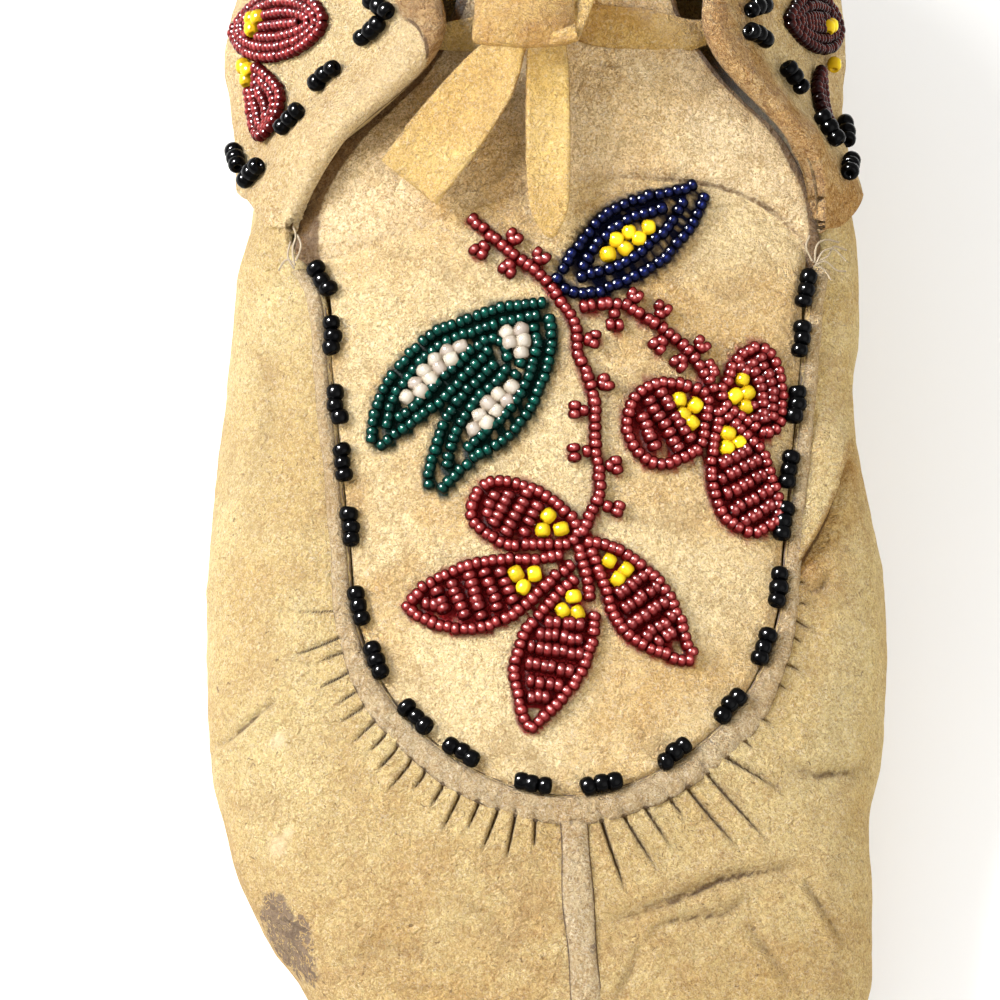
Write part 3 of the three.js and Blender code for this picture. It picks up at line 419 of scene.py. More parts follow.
TIE_RIGHT = [TiePoint(*row) for row in (
    (28.9, 48, 84.65, 3.4, ALONG_FOOT),
    (24.4, 47.7, 84.9, 3.6, ALONG_FOOT),
    (20.2, 45.8, 86.3, 5, ALONG_FOOT),
    (12.5, 45.4, 88.6, 6.4, ALONG_FOOT),
    (5, 45.2, 90, 6.4, ALONG_FOOT),
    (-1.5, 45.2, 93.4, 5, (0.3, 0.6, 0.7)),
    (-3.6, 42.6, 96.4, 5, (0.95, 0.2, 0.1)),
    (-3.4, 39.3, 94.6, 5.8, SIDEWAYS),
    (-3.2, 34.6, 90, 6.7, SIDEWAYS),
    (-3.1, 25, 82.2, 6.9, SIDEWAYS),
    (-2.9, 17, 78.3, 5.8, SIDEWAYS),
    (-2.7, 13, 76.4, 1.6, SIDEWAYS),
)]
Knot = namedtuple("Knot", "at size")
KNOT = Knot((-5, 45, 95.8), (7, 5, 3.8))

# Shift from the tables to the shoe's own frame, found from where the knot is
KNOT_BOX = np.array(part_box("lace_knot")) / MM
CENTRE = (KNOT_BOX[0] + KNOT_BOX[1]) / 2 - np.array(KNOT.at)


# Surfaces, in the tables' millimetres


def smooth(value, low, high):
    """Rise from 0 at low to 1 at high without a corner."""
    t = np.clip((np.asarray(value, float) - low) / (high - low), 0, 1)
    return t * t * (3 - 2 * t)


def fall(value, low, high):
    """Fall from 1 at low to 0 at high without a corner."""
    return 1 - smooth(value, low, high)


def unit(vectors):
    """The same directions with length 1."""
    return vectors / np.maximum(norm(vectors, axis=-1, keepdims=True), 1e-9)


def matched(*values):
    """Arrays of numbers brought to one shape."""
    return np.broadcast_arrays(*(np.asarray(value, float) for value in values))


def spline(points, t, closed=False):
    """Points of a smooth curve through control points, at t counted in control points."""
    points = np.asarray(points, float)
    count = len(points)
    t = np.asarray(t, float)
    if closed:
        i = np.floor(t).astype(int)
        p0, p1, p2, p3 = (points[(i + k) % count] for k in (-1, 0, 1, 2))
    else:
        ends = [2 * points[0] - points[1]], points, [2 * points[-1] - points[-2]]
        padded = np.concatenate(ends)
        i = np.clip(np.floor(t).astype(int), 0, count - 2)
        p0, p1, p2, p3 = (padded[i + k] for k in range(4))
    f = (t - i)[..., None]
    start = (p2 - p0) / 2
    end = (p3 - p1) / 2
    square = f * f
    cube = square * f
    return ((2 * cube - 3 * square + 1) * p1 + (cube - 2 * square + f) * start
            + (3 * square - 2 * cube) * p2 + (cube - square) * end)


def bezier(a, b, c, d, t):
    """Cubic curve between a and d."""
    t = np.asarray(t, float)[..., None]
    s = 1 - t
    return s ** 3 * a + 3 * s * s * t * b + 3 * s * t * t * c + t ** 3 * d


def vamp_height(x, y):
    """Height of the vamp's upper surface."""
    s = y - TIP_Y
    return TIP_Z + SLOPE * s + BEND * s * s - CROWN * x * x


def vamp_half_width(y):
    """Half the vamp's width at y."""
    if y > ROUND_Y:
        return HALF_WIDTH + WIDENING * (y - ROUND_Y)
    q = min(1, (ROUND_Y - y) / (ROUND_Y - TIP_Y))
    return HALF_WIDTH * (1 - q ** ROUNDNESS) ** (1 / ROUNDNESS)


def vamp_normal(x, y):
    """Direction square to the vamp."""
    x, y = matched(x, y)
    rise_y = SLOPE + 2 * BEND * (y - TIP_Y)
    return unit(np.stack([2 * CROWN * x, -rise_y, np.ones_like(x)], -1))


def over_vamp(x, y, height):
    """Point at a height above the vamp, square to it."""
    x, y, height = matched(x, y, height)
    return np.stack([x, y, vamp_height(x, y)], -1) + vamp_normal(x, y) * height[..., None]


def vamp_arch(s):
    """Rise of the vamp's top edge above its corners at -1 and 1."""
    right = 1 - (np.maximum(s - TOP_PEAK, 0) / (1 - TOP_PEAK)) ** 4
    left = (1 + np.cos(math.pi * np.maximum(TOP_PEAK - s, 0) / (1 + TOP_PEAK))) / 2
    return TOP_ARCH * np.where(s > TOP_PEAK, right, left)


def sole_height(x, y):
    """Height of the sole's underside."""
    toe = np.maximum(0, (TOE_SPRING.start - y) / TOE_SPRING.over)
    heel = np.maximum(0, (y - HEEL_LIFT.start) / HEEL_LIFT.over)
    part = np.clip((y - ARCH.start) / (ARCH.end - ARCH.start), 0, 1)
    arch = ARCH.height * np.sin(math.pi * part) ** 2 * smooth(x, ARCH.inner, ARCH.outer)
    return TOE_SPRING.height * toe ** 2 + HEEL_LIFT.height * heel ** 2 + arch


def round_the_foot(point):
    """Curve round the foot: toe tip, lateral side, heel, medial side."""
    collars = [None] * COLLAR_START + COLLAR
    rows = list(zip(SECTIONS, collars))
    points = [point(row, collar, 0) for row, collar in rows]
    points += [point(row, collar, 1) for row, collar in rows[-2:0:-1]]
    return lambda u: spline(points, np.mod(u, RING), closed=True)


def widest_point(row, collar, side):
    return (row.medial if side else row.lateral), row.y, row.z


def rim_point(row, collar, side):
    if collar:
        return (collar.rim_medial if side else collar.rim_lateral), row.rim_y, collar.rim_z
    x = vamp_half_width(row.rim_y) * (1 if side else -1)
    return x, row.rim_y, vamp_height(x, row.rim_y)


def hem_point(row, collar, side):
    if collar:
        return (collar.hem_medial if side else collar.hem_lateral), collar.hem_y, collar.hem_z
    return widest_point(row, collar, side)


widest_at = round_the_foot(widest_point)
rim_at = round_the_foot(rim_point)
hem_at = round_the_foot(hem_point)
shape_at = round_the_foot(lambda row, collar, side: (row.roll, row.arrive, 0))


def arrival(u):
    """Direction in which the wall reaches its rim."""
    inward = unit((rim_at(u) - widest_at(u)) * (1, 1, 0))
    angle = np.radians(shape_at(u)[..., 1:2])
    return inward * np.cos(angle) + UP * np.sin(angle)


def sole_edge(u):
    """Edge of the flat sole."""
    step = 0.02
    along = unit((widest_at(u + step) - widest_at(u - step)) * (1, 1, 0))
    inward = np.stack([along[..., 1], -along[..., 0], np.zeros_like(along[..., 0])], -1)
    edge = widest_at(u) + inward * shape_at(u)[..., :1]
    edge[..., 2] = sole_height(edge[..., 0], edge[..., 1])
    return edge


def wall(u, v):
    """Outside of the wall: v from 0 at the sole's edge over 1 at the widest point to 2 at the rim."""
    u, v = matched(u, v)
    widest = widest_at(u)
    edge = sole_edge(u)
    a = (np.minimum(v, 1) * math.pi / 2)[..., None]
    low = edge + (widest - edge) * np.sin(a)
    low[..., 2] = (edge[..., 2:] + (widest - edge)[..., 2:] * (1 - np.cos(a)))[..., 0]
    rim = rim_at(u)
    span = norm(rim - widest, axis=-1, keepdims=True)
    b = widest + UP * WALL_RISE * (rim - widest)[..., 2:]
    c = rim - arrival(u) * WALL_REACH * span
    high = bezier(widest, b, c, rim, np.maximum(v - 1, 0))
    return np.where((v < 1)[..., None], low, high)


def below_rim(u, distance):
    """Value of v at a distance below the rim."""
    return 2 - distance / (3 * WALL_REACH * norm(rim_at(u) - widest_at(u), axis=-1))


def cuff(u, w):
    """Underside of the cuff: w from 0 at the collar seam over the fold to 1 at the hem."""
    u, w = matched(u, w)
    start = rim_at(u) + arrival(u) * CUFF_GAP
    hem = hem_at(u)
    span = norm(hem - start, axis=-1, keepdims=True)
    b = start + arrival(u) * CUFF_FOLD * span
    c = hem + (start - hem) * CUFF_DRAPE + UP * CUFF_LIFT * span
    return bezier(start, b, c, hem, w)


def tongue_surface(s, t):
    """Upper side of the tongue: s across from -1 to 1, t from its hidden end to its free end."""
    line = [(0, row.y, vamp_height(0, row.y) - row.drop if row.z is None else row.z) for row in TONGUE]
    form = [(row.half, row.crown, row.shift) for row in TONGUE]
    s, t = matched(s, t)
    place = t * (len(TONGUE) - 1)
    middle = spline(line, place)
    half = spline(form, place)
    x = s * half[..., 0] + half[..., 2]
    return np.stack([x, middle[..., 1], middle[..., 2] - half[..., 1] * x * x], -1)


def slopes(surface, a, b, low, high, step_a=0.03, step_b=0.004):
    """Point, normal and both slopes of a surface whose second parameter runs from low to high."""
    b0 = np.maximum(b - step_b, low)
    b1 = np.minimum(b + step_b, high)
    slope_a = (surface(a + step_a, b) - surface(a - step_a, b)) / (2 * step_a)
    slope_b = (surface(a, b1) - surface(a, b0)) / np.asarray(b1 - b0)[..., None]
    return surface(a, b), unit(np.cross(slope_a, slope_b)), slope_a, slope_b


def outside_wall(u, v, height):
    """Point at a height outside the wall."""
    point, normal, _, _ = slopes(wall, u, v, 0, 2)
    return point - normal * np.asarray(height)[..., None]


def cuff_layer(u, w, height):
    """Point at a height above the cuff's underside."""
    point, normal, _, _ = slopes(cuff, u, w, 0, 1)
    return point + normal * np.asarray(height)[..., None]


def rumple(points, size, seed):
    """Soft uneven field from -1 to 1, of sine waves in fixed random directions."""
    rng = np.random.default_rng(seed)
    total = np.zeros(points.shape[:-1])
    for wave in range(WAVES):
        direction = unit(rng.normal(size=3))
        length = size * rng.uniform(*WAVE_SPREAD)
        phase = rng.uniform(0, 2 * math.pi)
        bent = 2 * math.pi / (WAVE_BEND_LENGTH * length)
        bend = np.sin(points @ unit(rng.normal(size=3)) * bent + wave)
        total += np.sin(points @ direction * (2 * math.pi / length) + phase + WAVE_BEND * bend)
    return total / WAVE_SUM


def bump(value, width):
    """Soft bump that is 1 at 0 and falls away over a width."""
    return np.exp(-(value / width) ** 2)


def lumps(points, rows):
    """Uneven fields added together; each row has a size, a height and a seed."""
    return sum(height * rumple(points, size, seed) for size, height, seed in rows)


def lengths_along(points):
    """Distance of each point from the first along a line."""
    return np.concatenate([[0], np.cumsum(norm(np.diff(points, axis=0), axis=1))])


def polyline_field(point, line):
    """Signed distance from a line in plan, positive to its right, and the part of the way along it."""
    x = point[..., 0]
    y = point[..., 1]
    line = np.asarray(line, float)
    steps = np.diff(line, axis=0)
    lengths = norm(steps, axis=1)
    starts = np.concatenate([[0], np.cumsum(lengths)])
    best = np.full(x.shape, 1e9)
    signed = np.zeros(x.shape)
    along = np.zeros(x.shape)
    for (px, py), (dx, dy), length, start in zip(line[:-1], steps, lengths, starts):
        t = np.clip(((x - px) * dx + (y - py) * dy) / length ** 2, 0, 1)
        off_x = x - px - t * dx
        off_y = y - py - t * dy
        distance = np.hypot(off_x, off_y)
        nearer = distance < best
        side = np.where(off_x * dy - off_y * dx >= 0, 1, -1)
        best = np.where(nearer, distance, best)
        signed = np.where(nearer, side * distance, signed)
        along = np.where(nearer, (start + t * length) / starts[-1], along)
    return signed, along


# Meshes


def make_piece(name, points, faces, material, replaced=(), fields=None):
    """Mesh object from points in the tables' millimetres, riding on the shoe."""
    mesh = bpy.data.meshes.new(name)
    mesh.from_pydata(((points + CENTRE) * MM).tolist(), [], faces)
    for field, values in (fields or {}).items():
        attribute = mesh.attributes.new(field, "FLOAT", "POINT")
        attribute.data.foreach_set("value", np.asarray(values, np.float32).ravel())
    mesh.polygons.foreach_set("use_smooth", np.ones(len(mesh.polygons), bool))
    mesh.materials.append(material)
    mesh.update()
    if mesh.validate(clean_customdata=False):
        raise RuntimeError(f"{name} has faces that are not sound")
    piece = bpy.data.objects.new(name, mesh)
    bpy.context.scene.collection.objects.link(piece)
    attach(piece, "root")
    if replaced:
        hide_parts(*replaced)
    return piece


def grid_faces(index):
    """Quads between the rows of an array of vertex numbers, without repeated corners."""
    faces = []
    for a, b in zip(index[:-1].tolist(), index[1:].tolist()):
        for k in range(len(a) - 1):
            corners = [a[k], b[k], b[k + 1], a[k + 1]]
            face = [c for n, c in enumerate(corners) if c != corners[n - 1]]
            if len(face) > 2:
                faces.append(face)
    return faces


def flipped(faces):
    """The same faces seen from the other side."""
    return [face[::-1] for face in faces]


def slab(top, bottom, edge=0.35):
    """Closed sheet between two grids of points, with rounded edges."""
    middle = (top + bottom) / 2
    thick = norm(top - bottom, axis=-1, keepdims=True)

    def beyond(last, before):
        return middle[last] + unit(middle[last] - middle[before]) * thick[last] * edge

    def rimmed(layer):
        out = np.zeros((layer.shape[0] + 2, layer.shape[1] + 2, 3))
        out[1:-1, 1:-1] = layer
        for outer, inner in ((0, 1), (-1, -2)):
            out[outer, 1:-1] = beyond(outer, inner)
            out[1:-1, outer] = beyond((slice(None), outer), (slice(None), inner))
        for row, inner_row in ((0, 1), (-1, -2)):
            for column, inner_column in ((0, 1), (-1, -2)):
                out[row, column] = (out[row, inner_column] + out[inner_row, column]) / 2
        return out

    high = rimmed(top)
    low = rimmed(bottom)
    rows, columns = high.shape[:2]
    index = np.arange(rows * columns).reshape(rows, columns)
    under = index.copy()
    inner = (rows - 2) * (columns - 2)
    under[1:-1, 1:-1] = np.arange(inner).reshape(rows - 2, columns - 2) + rows * columns
    points = np.concatenate([high.reshape(-1, 3), low[1:-1, 1:-1].reshape(-1, 3)])
    faces = grid_faces(index) + flipped(grid_faces(under))
    return points, faces


def declare_sheet(middle):
    """Work out how large a piece of hide was cut for a sheet, from its middle layer of points; the sizes are
    not used.
    """
    across = norm(np.diff(middle, axis=0), axis=-1).sum(0).max()
    along = norm(np.diff(middle, axis=1), axis=-1).sum(1).max()
    sides = np.cross(middle[1:, 1:] - middle[:-1, :-1], middle[1:, :-1] - middle[:-1, 1:])
    area = norm(sides, axis=-1).sum() / 2


def slab_field(values, under=0.0):
    """Values on a sheet's upper side, in the order of the points that slab gives."""
    padded = np.pad(values, 1, mode="edge")
    return np.concatenate([padded.ravel(), np.full(values.size, under)])


def tube(path, radius, sides=6):
    """Closed round tube along a path."""
    path = np.asarray(path, float)
    along = unit(np.gradient(path, axis=0))
    across = unit(np.cross(along, np.where(np.abs(along[:, 2:]) > 0.9, (1, 0, 0), UP)))
    third = np.cross(along, across)
    angles = np.linspace(0, 2 * math.pi, sides, endpoint=False)
    ring = across[:, None] * np.cos(angles)[:, None] + third[:, None] * np.sin(angles)[:, None]
    points = (path[:, None] + ring * radius).reshape(-1, 3)
    index = np.arange(len(points)).reshape(len(path), sides)
    faces = grid_faces(np.concatenate([index, index[:, :1]], 1))
    faces += [index[0].tolist()[::-1], index[-1].tolist()]
    return points, faces


def joined(parts):
    """One set of points and faces from several."""
    points = []
    faces = []
    count = 0
    for part_points, part_faces in parts:
        points.append(part_points)
        faces += [[c + count for c in face] for face in part_faces]
        count += len(part_points)
    return np.concatenate(points), faces


def along_line(line, pitch, closed=False, wobble=0.0, rng=None):
    """Plan points and directions at even steps along a smooth line."""
    line = np.asarray(line, float)
    count = len(line) if closed else len(line) - 1
    t = np.linspace(0, count, LINE_STEPS * count + 1)
    fine = spline(line, np.mod(t, count) if closed else t, closed)
    lengths = lengths_along(fine)
    number = max(3, round(lengths[-1] / pitch)) if closed else 1 + round(lengths[-1] / pitch)
    places = (np.arange(number) + 0.5) / number * lengths[-1]
    if not closed and number > 1:
        places = np.linspace(0, 1, number) * lengths[-1]
    if rng is not None and wobble:
        places = np.clip(places + rng.normal(0, wobble, number), 0, lengths[-1])

    def at(place):
        return np.stack([np.interp(place, lengths, fine[:, k]) for k in range(fine.shape[1])], -1)

    ahead = at(np.minimum(places + LINE_REACH, lengths[-1]))
    behind = at(np.maximum(places - LINE_REACH, 0))
    return at(places), unit(ahead - behind)


# Section through a bead beside its thread hole: part of the half length, part of the radius
BEAD_SECTION = np.array([(-0.6, 0.92), (0.0, 1.0), (0.6, 0.92), (0.95, 0.66), (0.85, 0.34), (-0.85, 0.34),
                         (-0.95, 0.66)])
Beads = namedtuple("Beads", "centre along normal width length")


def bead_mesh(beads, rng, sides=12, tones=(0.0, 1.0)):
    """Joined beads, with how far each point faces out of the work, which the glass turns into a painted
    highlight on top and painted shade on the sides, and a tone for each bead.
    """
    count = len(beads.centre)
    along = unit(beads.along + rng.normal(0, TILT_SPREAD, (count, 3)))
    normal = unit(beads.normal - along * np.sum(beads.normal * along, -1, keepdims=True))
    across = np.cross(along, normal)
    angles = np.linspace(0, 2 * math.pi, sides, endpoint=False)
    half = (beads.length * CROWD * rng.normal(1, LENGTH_SPREAD, count) / 2)[:, None, None, None]
    radius = (beads.width * rng.normal(1, WIDTH_SPREAD, count) / 2)[:, None, None, None]
    x = BEAD_SECTION[None, :, None, :1]
    r = BEAD_SECTION[None, :, None, 1:]
    turn = angles[None, None, :, None]
    spoke = normal[:, None, None] * np.cos(turn) + across[:, None, None] * np.sin(turn)
    points = beads.centre[:, None, None] + along[:, None, None] * x * half + spoke * r * radius
    index = np.arange(len(BEAD_SECTION) * sides).reshape(len(BEAD_SECTION), sides)
    index = np.concatenate([index, index[:1]])
    index = np.concatenate([index, index[:, :1]], 1)
    one = np.array(flipped(grid_faces(index)))
    first = np.arange(count) * len(BEAD_SECTION) * sides
    faces = (one[None] + first[:, None, None]).reshape(-1, 4).tolist()
    # Crown: where the glass paints its highlight, falling off to painted shade on the flanks
    crown = np.broadcast_to(np.cos(turn) * r, points.shape[:3] + (1,))
    tone = np.broadcast_to(rng.uniform(*tones, count)[:, None, None, None], crown.shape)
    return points.reshape(-1, 3), faces, {"crown": crown.ravel(), "tone": tone.ravel()}


def sized_beads(centre, along, normal, size):
    """Beads that are all of one size."""
    count = len(centre)
    return Beads(centre, along, normal, np.full(count, size.width), np.full(count, size.length))


def join_beads(groups):
    """One list of beads from several."""
    return Beads(*(np.concatenate(values) for values in zip(*groups)))


def beads_on_vamp(points, directions, size, seat, rng, jitter):
    """Beads lying on the vamp at plan points, threaded along plan directions."""
    points = points + rng.normal(0, jitter, points.shape)
    lift = size.width * seat
    centre = over_vamp(*points.T, lift + rng.normal(0, LIFT_SPREAD, len(points)))
    ahead = over_vamp(*(points + directions).T, lift)
    behind = over_vamp(*(points - directions).T, lift)
    return sized_beads(centre, unit(ahead - behind), vamp_normal(*points.T), size)


def vamp_rows(lines, size, rng, closed=False):
    """Beads in rows on the vamp."""
    groups = []
    for line in lines:
        points, directions = along_line(line, size.length, closed, STEP_SPREAD, rng)
        groups.append(beads_on_vamp(points, directions, size, SEAT, rng, ROW_JITTER))
    return join_beads(groups)


def sprig_beads(tips, lines, size, rng):
    """Sprouts of three beads beside the stems: one on the way out and two side by side at the tip."""
    stems = np.concatenate([along_line(line, 0.4)[0] for line in lines])
    groups = []
    for tip in np.asarray(tips, float):
        foot = stems[np.argmin(norm(stems - tip, axis=1))]
        out = unit(tip - foot)
        side = np.array((-out[1], out[0]))
        points = np.array([foot + out * SPRIG_REACH, tip + side * SPRIG_HALF, tip - side * SPRIG_HALF])
        groups.append(beads_on_vamp(points, np.array([out, side, side]), size, SEAT, rng, SPRIG_JITTER))
    return join_beads(groups)


def vamp_singles(points, size, rng):
    """Single beads on the vamp, each turned its own way."""
    points = np.asarray(points, float)
    angle = rng.uniform(0, math.pi, len(points))
    directions = np.stack([np.cos(angle), np.sin(angle)], -1)
    return beads_on_vamp(points, directions, size, SINGLE_SEAT, rng, SINGLE_JITTER)


def beads_on_cuff(places, size, lift, rng, closed=False):
    """Beads on the cuff along a line of section and width parameters."""
    places = np.asarray(places, float)
    line = cuff_layer(*places.T, HIDE)
    points, directions = along_line(line, size.length, closed, STEP_SPREAD, rng)
    nearest = np.argmin(norm(line[None] - points[:, None], axis=-1), 1)
    _, normals, _, _ = slopes(cuff, places[nearest, 0], places[nearest, 1], 0, 1)
    centre = points + normals * (lift + rng.normal(0, CUFF_LIFT_SPREAD, len(points)))[:, None]
    return sized_beads(centre, directions, normals, size)


def apart_from(beads, places, gap):
    """Those of the beads that leave room for others at these places."""
    away = norm(beads.centre[:, None] - places[None], axis=-1).min(1) > gap
    return Beads(*(part[away] for part in beads))


def petal_width(t, belly):
    """Width of a petal along its length, from 0 over 1 at its belly to 0."""
    low = np.sin(math.pi / 2 * np.clip(t / belly, 0, 1)) ** PETAL_BASE
    high = np.cos(math.pi / 2 * np.clip((t - belly) / (1 - belly), 0, 1)) ** PETAL_TIP
    return np.where(t < belly, low, high)


def petal_outline(petal, part):
    """Outline of a cuff petal as section and width parameters, drawn in to a part of its size."""
    base = np.array((petal.u, petal.w))
    tip = np.array((petal.tip_u, petal.tip_w))
    _, normal, slope_u, slope_w = slopes(cuff, *(base + tip)[:, None] / 2, 0, 1)
    axis = slope_u * (tip[0] - base[0]) + slope_w * (tip[1] - base[1])
    side = unit(np.cross(axis, normal))[0]
    flat = np.stack([slope_u[0], slope_w[0]], 1)
    step = np.linalg.lstsq(flat, side, rcond=None)[0]
    t = (1 - np.cos(np.linspace(0, math.pi, PETAL_STEPS))) / 2
    width = petal.half * petal_width(t, petal.belly)
    there = np.stack([t, width], 1)
    back = np.stack([t, -width], 1)[-2:0:-1]
    ring = np.concatenate([there, back])
    length = norm(axis)
    inset = (1 - part) * petal.half
    along = 0.5 + (ring[:, 0] - 0.5) * max(0.05, 1 - 2 * inset / length)
    return base + (tip - base) * along[:, None] + step * (ring[:, 1] * part)[:, None]


def bead_group(foot, normal, direction, rng):
    """Three black beads in a row on a surface."""
    direction = unit(direction - normal * np.dot(direction, normal))
    steps = np.array((-1, 0, 1)) * BLACK_BEAD.length + rng.normal(0, GROUP_STEP_SPREAD, 3)
    sideways = np.cross(normal, direction)
    centre = foot + normal * (BLACK_BEAD.width * GROUP_SEAT) + direction * steps[:, None]
    centre = centre + sideways * rng.normal(0, GROUP_SIDE_SPREAD, 3)[:, None]
    along = unit(direction + sideways * rng.normal(0, GROUP_TILT_SPREAD, 3)[:, None])
    return sized_beads(centre, along, np.tile(normal, (3, 1)), BLACK_BEAD)


def seam_parameter(distance, sign):
    """Section parameter at a distance along the vamp seam from its tip."""
    u = np.arange(0, 11, 0.01) * sign
    return np.interp(distance, lengths_along(rim_at(u)[:, :2]), u)


# Materials


# Noise in the hide: waves in a metre, detail and distortion
BROAD = (42, 4, 0.6)
GRAIN = (1500, 3, 1.6)
FIBRES = (1250, 3, 2.2)
DIRT = (95, 5, 0.8)
FLECKS = (980, 2, 0.8)
FOLDS = (560, 3, 0.9)
PATCHES = (210, 5, 0.8)
MOTTLE = (520, 4, 1.2)

# Colours in the hide. The shades are multiplied with its own colour.
TAN_SHADE = (0.78, 0.64, 0.42, 1)
GRAIN_SHADE = (0.48, 0.34, 0.17, 1)
# Smoked tone, also used for painted shade and shadow
SMOKE_SHADE = (0.76, 0.61, 0.44, 1)
CRAZED_SHADE = (0.6, 0.48, 0.32, 1)
# Painted shade in creases, folds and under overhangs
CREASE_SHADE = (0.2, 0.135, 0.08, 1)
BRUSHED = (1, 0.94, 0.81, 1)
SOIL = (0.40, 0.25, 0.095, 1)
FLECK = (0.15, 0.08, 0.03, 1)
SCUFFED = (0.80, 0.63, 0.38, 1)
STAIN_DARK = (0.11, 0.068, 0.045, 1)
STAIN_LIGHT = (0.2, 0.13, 0.085, 1)
NAP_DEPTH = 0.0012
DULL_SPECULAR = 0.04
SHEEN = 0.03
SHEEN_ROUGHNESS = 0.5

# Glass, thread and paper
STREAKS = (900, 2, 0.5)
DIM_GLASS = (0.5, 0.42, 0.45, 1)
TWIST = (2600, 2, 0.8)
TWIST_SHADE = 0.45
TOOTH = (14, 3)
TOOTH_SHADE = 0.985
PAPER_ROUGHNESS = 0.95
PAPER_SPECULAR = 0.1

# Kinds of sockets
COLOUR = "NodeSocketColor"
VALUE = "NodeSocketFloat"


def new_group(name, inputs, outputs):
    """Empty shader node group with named sockets, and those sockets seen from inside it."""
    group = bpy.data.node_groups.new(name, "ShaderNodeTree")
    for socket, kind, value in inputs:
        made = group.interface.new_socket(socket, in_out="INPUT", socket_type=kind)
        if value is not None:
            made.default_value = value
    for socket, kind in outputs:
        group.interface.new_socket(socket, in_out="OUTPUT", socket_type=kind)
    given = group.nodes.new("NodeGroupInput").outputs
    result = group.nodes.new("NodeGroupOutput").inputs
    return group, given, result


def add_node(tree, kind, links=None, **values):
    """Node with its properties set and its named or numbered inputs filled or linked."""
    node = tree.nodes.new(kind)
    for name, value in values.items():
        setattr(node, name, value)
    for socket, value in (links or {}).items():
        if isinstance(value, bpy.types.NodeSocket):
            tree.links.new(value, node.inputs[socket])
        else:
            node.inputs[socket].default_value = value
    return node


def noise(tree, vector, scale, detail=2.0, distortion=0.0):
    """Noise value over the surface; scale counts waves in a metre."""
    links = {"Vector": vector, "Scale": scale, "Detail": detail, "Distortion": distortion}
    return add_node(tree, "ShaderNodeTexNoise", links).outputs["Fac"]


def ramp(tree, value, low, high, to_low=0.0, to_high=1.0):
    """Value carried from one range to another, held at its ends."""
    links = {"Value": value, "From Min": low, "From Max": high, "To Min": to_low, "To Max": to_high}
    return add_node(tree, "ShaderNodeMapRange", links).outputs["Result"]


def math_node(tree, operation, a, b=0.0):
    """Result of one operation on two values."""
    return add_node(tree, "ShaderNodeMath", {0: a, 1: b}, operation=operation).outputs[0]


def times(tree, a, b):
    """Product of two values."""
    return math_node(tree, "MULTIPLY", a, b)


def plus(tree, a, b):
    """Sum of two values."""
    return math_node(tree, "ADD", a, b)


def field_value(tree, name):
    """Value of a field of the mesh."""
    return add_node(tree, "ShaderNodeAttribute", attribute_name=name).outputs["Fac"]


def object_place(tree):
    """Place on the object, in metres."""
    return add_node(tree, "ShaderNodeTexCoord").outputs["Object"]


def mix(tree, factor, a, b, blend="MIX"):
    """Mix of two colours."""
    node = add_node(tree, "ShaderNodeMix", data_type="RGBA", blend_type=blend)
    for socket, value in ((node.inputs["Factor"], factor), (node.inputs[6], a), (node.inputs[7], b)):
        if isinstance(value, bpy.types.NodeSocket):
            tree.links.new(value, socket)
        else:
            socket.default_value = value
    return node.outputs[2]


def shaded(tree, factor, colour, shade):
    """Colour multiplied with a shade as far as a factor says."""
    return mix(tree, factor, colour, mix(tree, 1, colour, shade, "MULTIPLY"))


def build_nap_group():
    """Brushed hide: broad blotches, grain, short pale fibres, specks of dirt and dark flecks."""
    group, given, result = new_group(
        "Brushed hide nap",
        [("Color", COLOUR, None), ("Blotch", VALUE, 1), ("Fibre", VALUE, 1), ("Dirt", VALUE, 1),
         ("Flecks", VALUE, 1)],
        [("Color", COLOUR), ("Roughness", VALUE), ("Height", VALUE)])
    place = object_place(group)
    broad = noise(group, place, *BROAD)
    grain = noise(group, place, *GRAIN)
    fibre = noise(group, place, *FIBRES)
    dirt = noise(group, place, *DIRT)
    fleck = noise(group, place, *FLECKS)
    fold = noise(group, place, *FOLDS)
    colour = given["Color"]
    blotch = times(group, ramp(group, broad, 0.42, 0.64), given["Blotch"])
    colour = shaded(group, times(group, blotch, 0.6), colour, TAN_SHADE)
    rough = plus(group, times(group, grain, 0.8), times(group, fold, 0.2))
    speckle = times(group, ramp(group, rough, 0.4, 0.65, 0, 0.72), given["Fibre"])
    colour = shaded(group, speckle, colour, GRAIN_SHADE)
    brushed = mix(group, 0.45, colour, BRUSHED)
    strands = times(group, ramp(group, fibre, 0.5, 0.7, 0, 0.55), given["Fibre"])
    colour = mix(group, strands, colour, brushed)
    ground = math_node(group, "MULTIPLY_ADD", grain, 0.45)
    ground.node.inputs[2].default_value = -0.22
    soil = ramp(group, plus(group, dirt, ground), 0.5, 0.8, 0, 0.5)
    colour = mix(group, times(group, soil, given["Dirt"]), colour, SOIL)
    spots = times(group, ramp(group, fleck, 0.69, 0.73, 0, 0.7), given["Flecks"])
    colour = mix(group, spots, colour, FLECK)
    group.links.new(colour, result["Color"])
    group.links.new(ramp(group, fibre, 0.3, 0.7, 0.78, 0.95), result["Roughness"])
    height = plus(group, times(group, fibre, 0.6), times(group, fold, 1.5))
    height = math_node(group, "SUBTRACT", height, times(group, grain, 0.5))
    group.links.new(height, result["Height"])
    return group


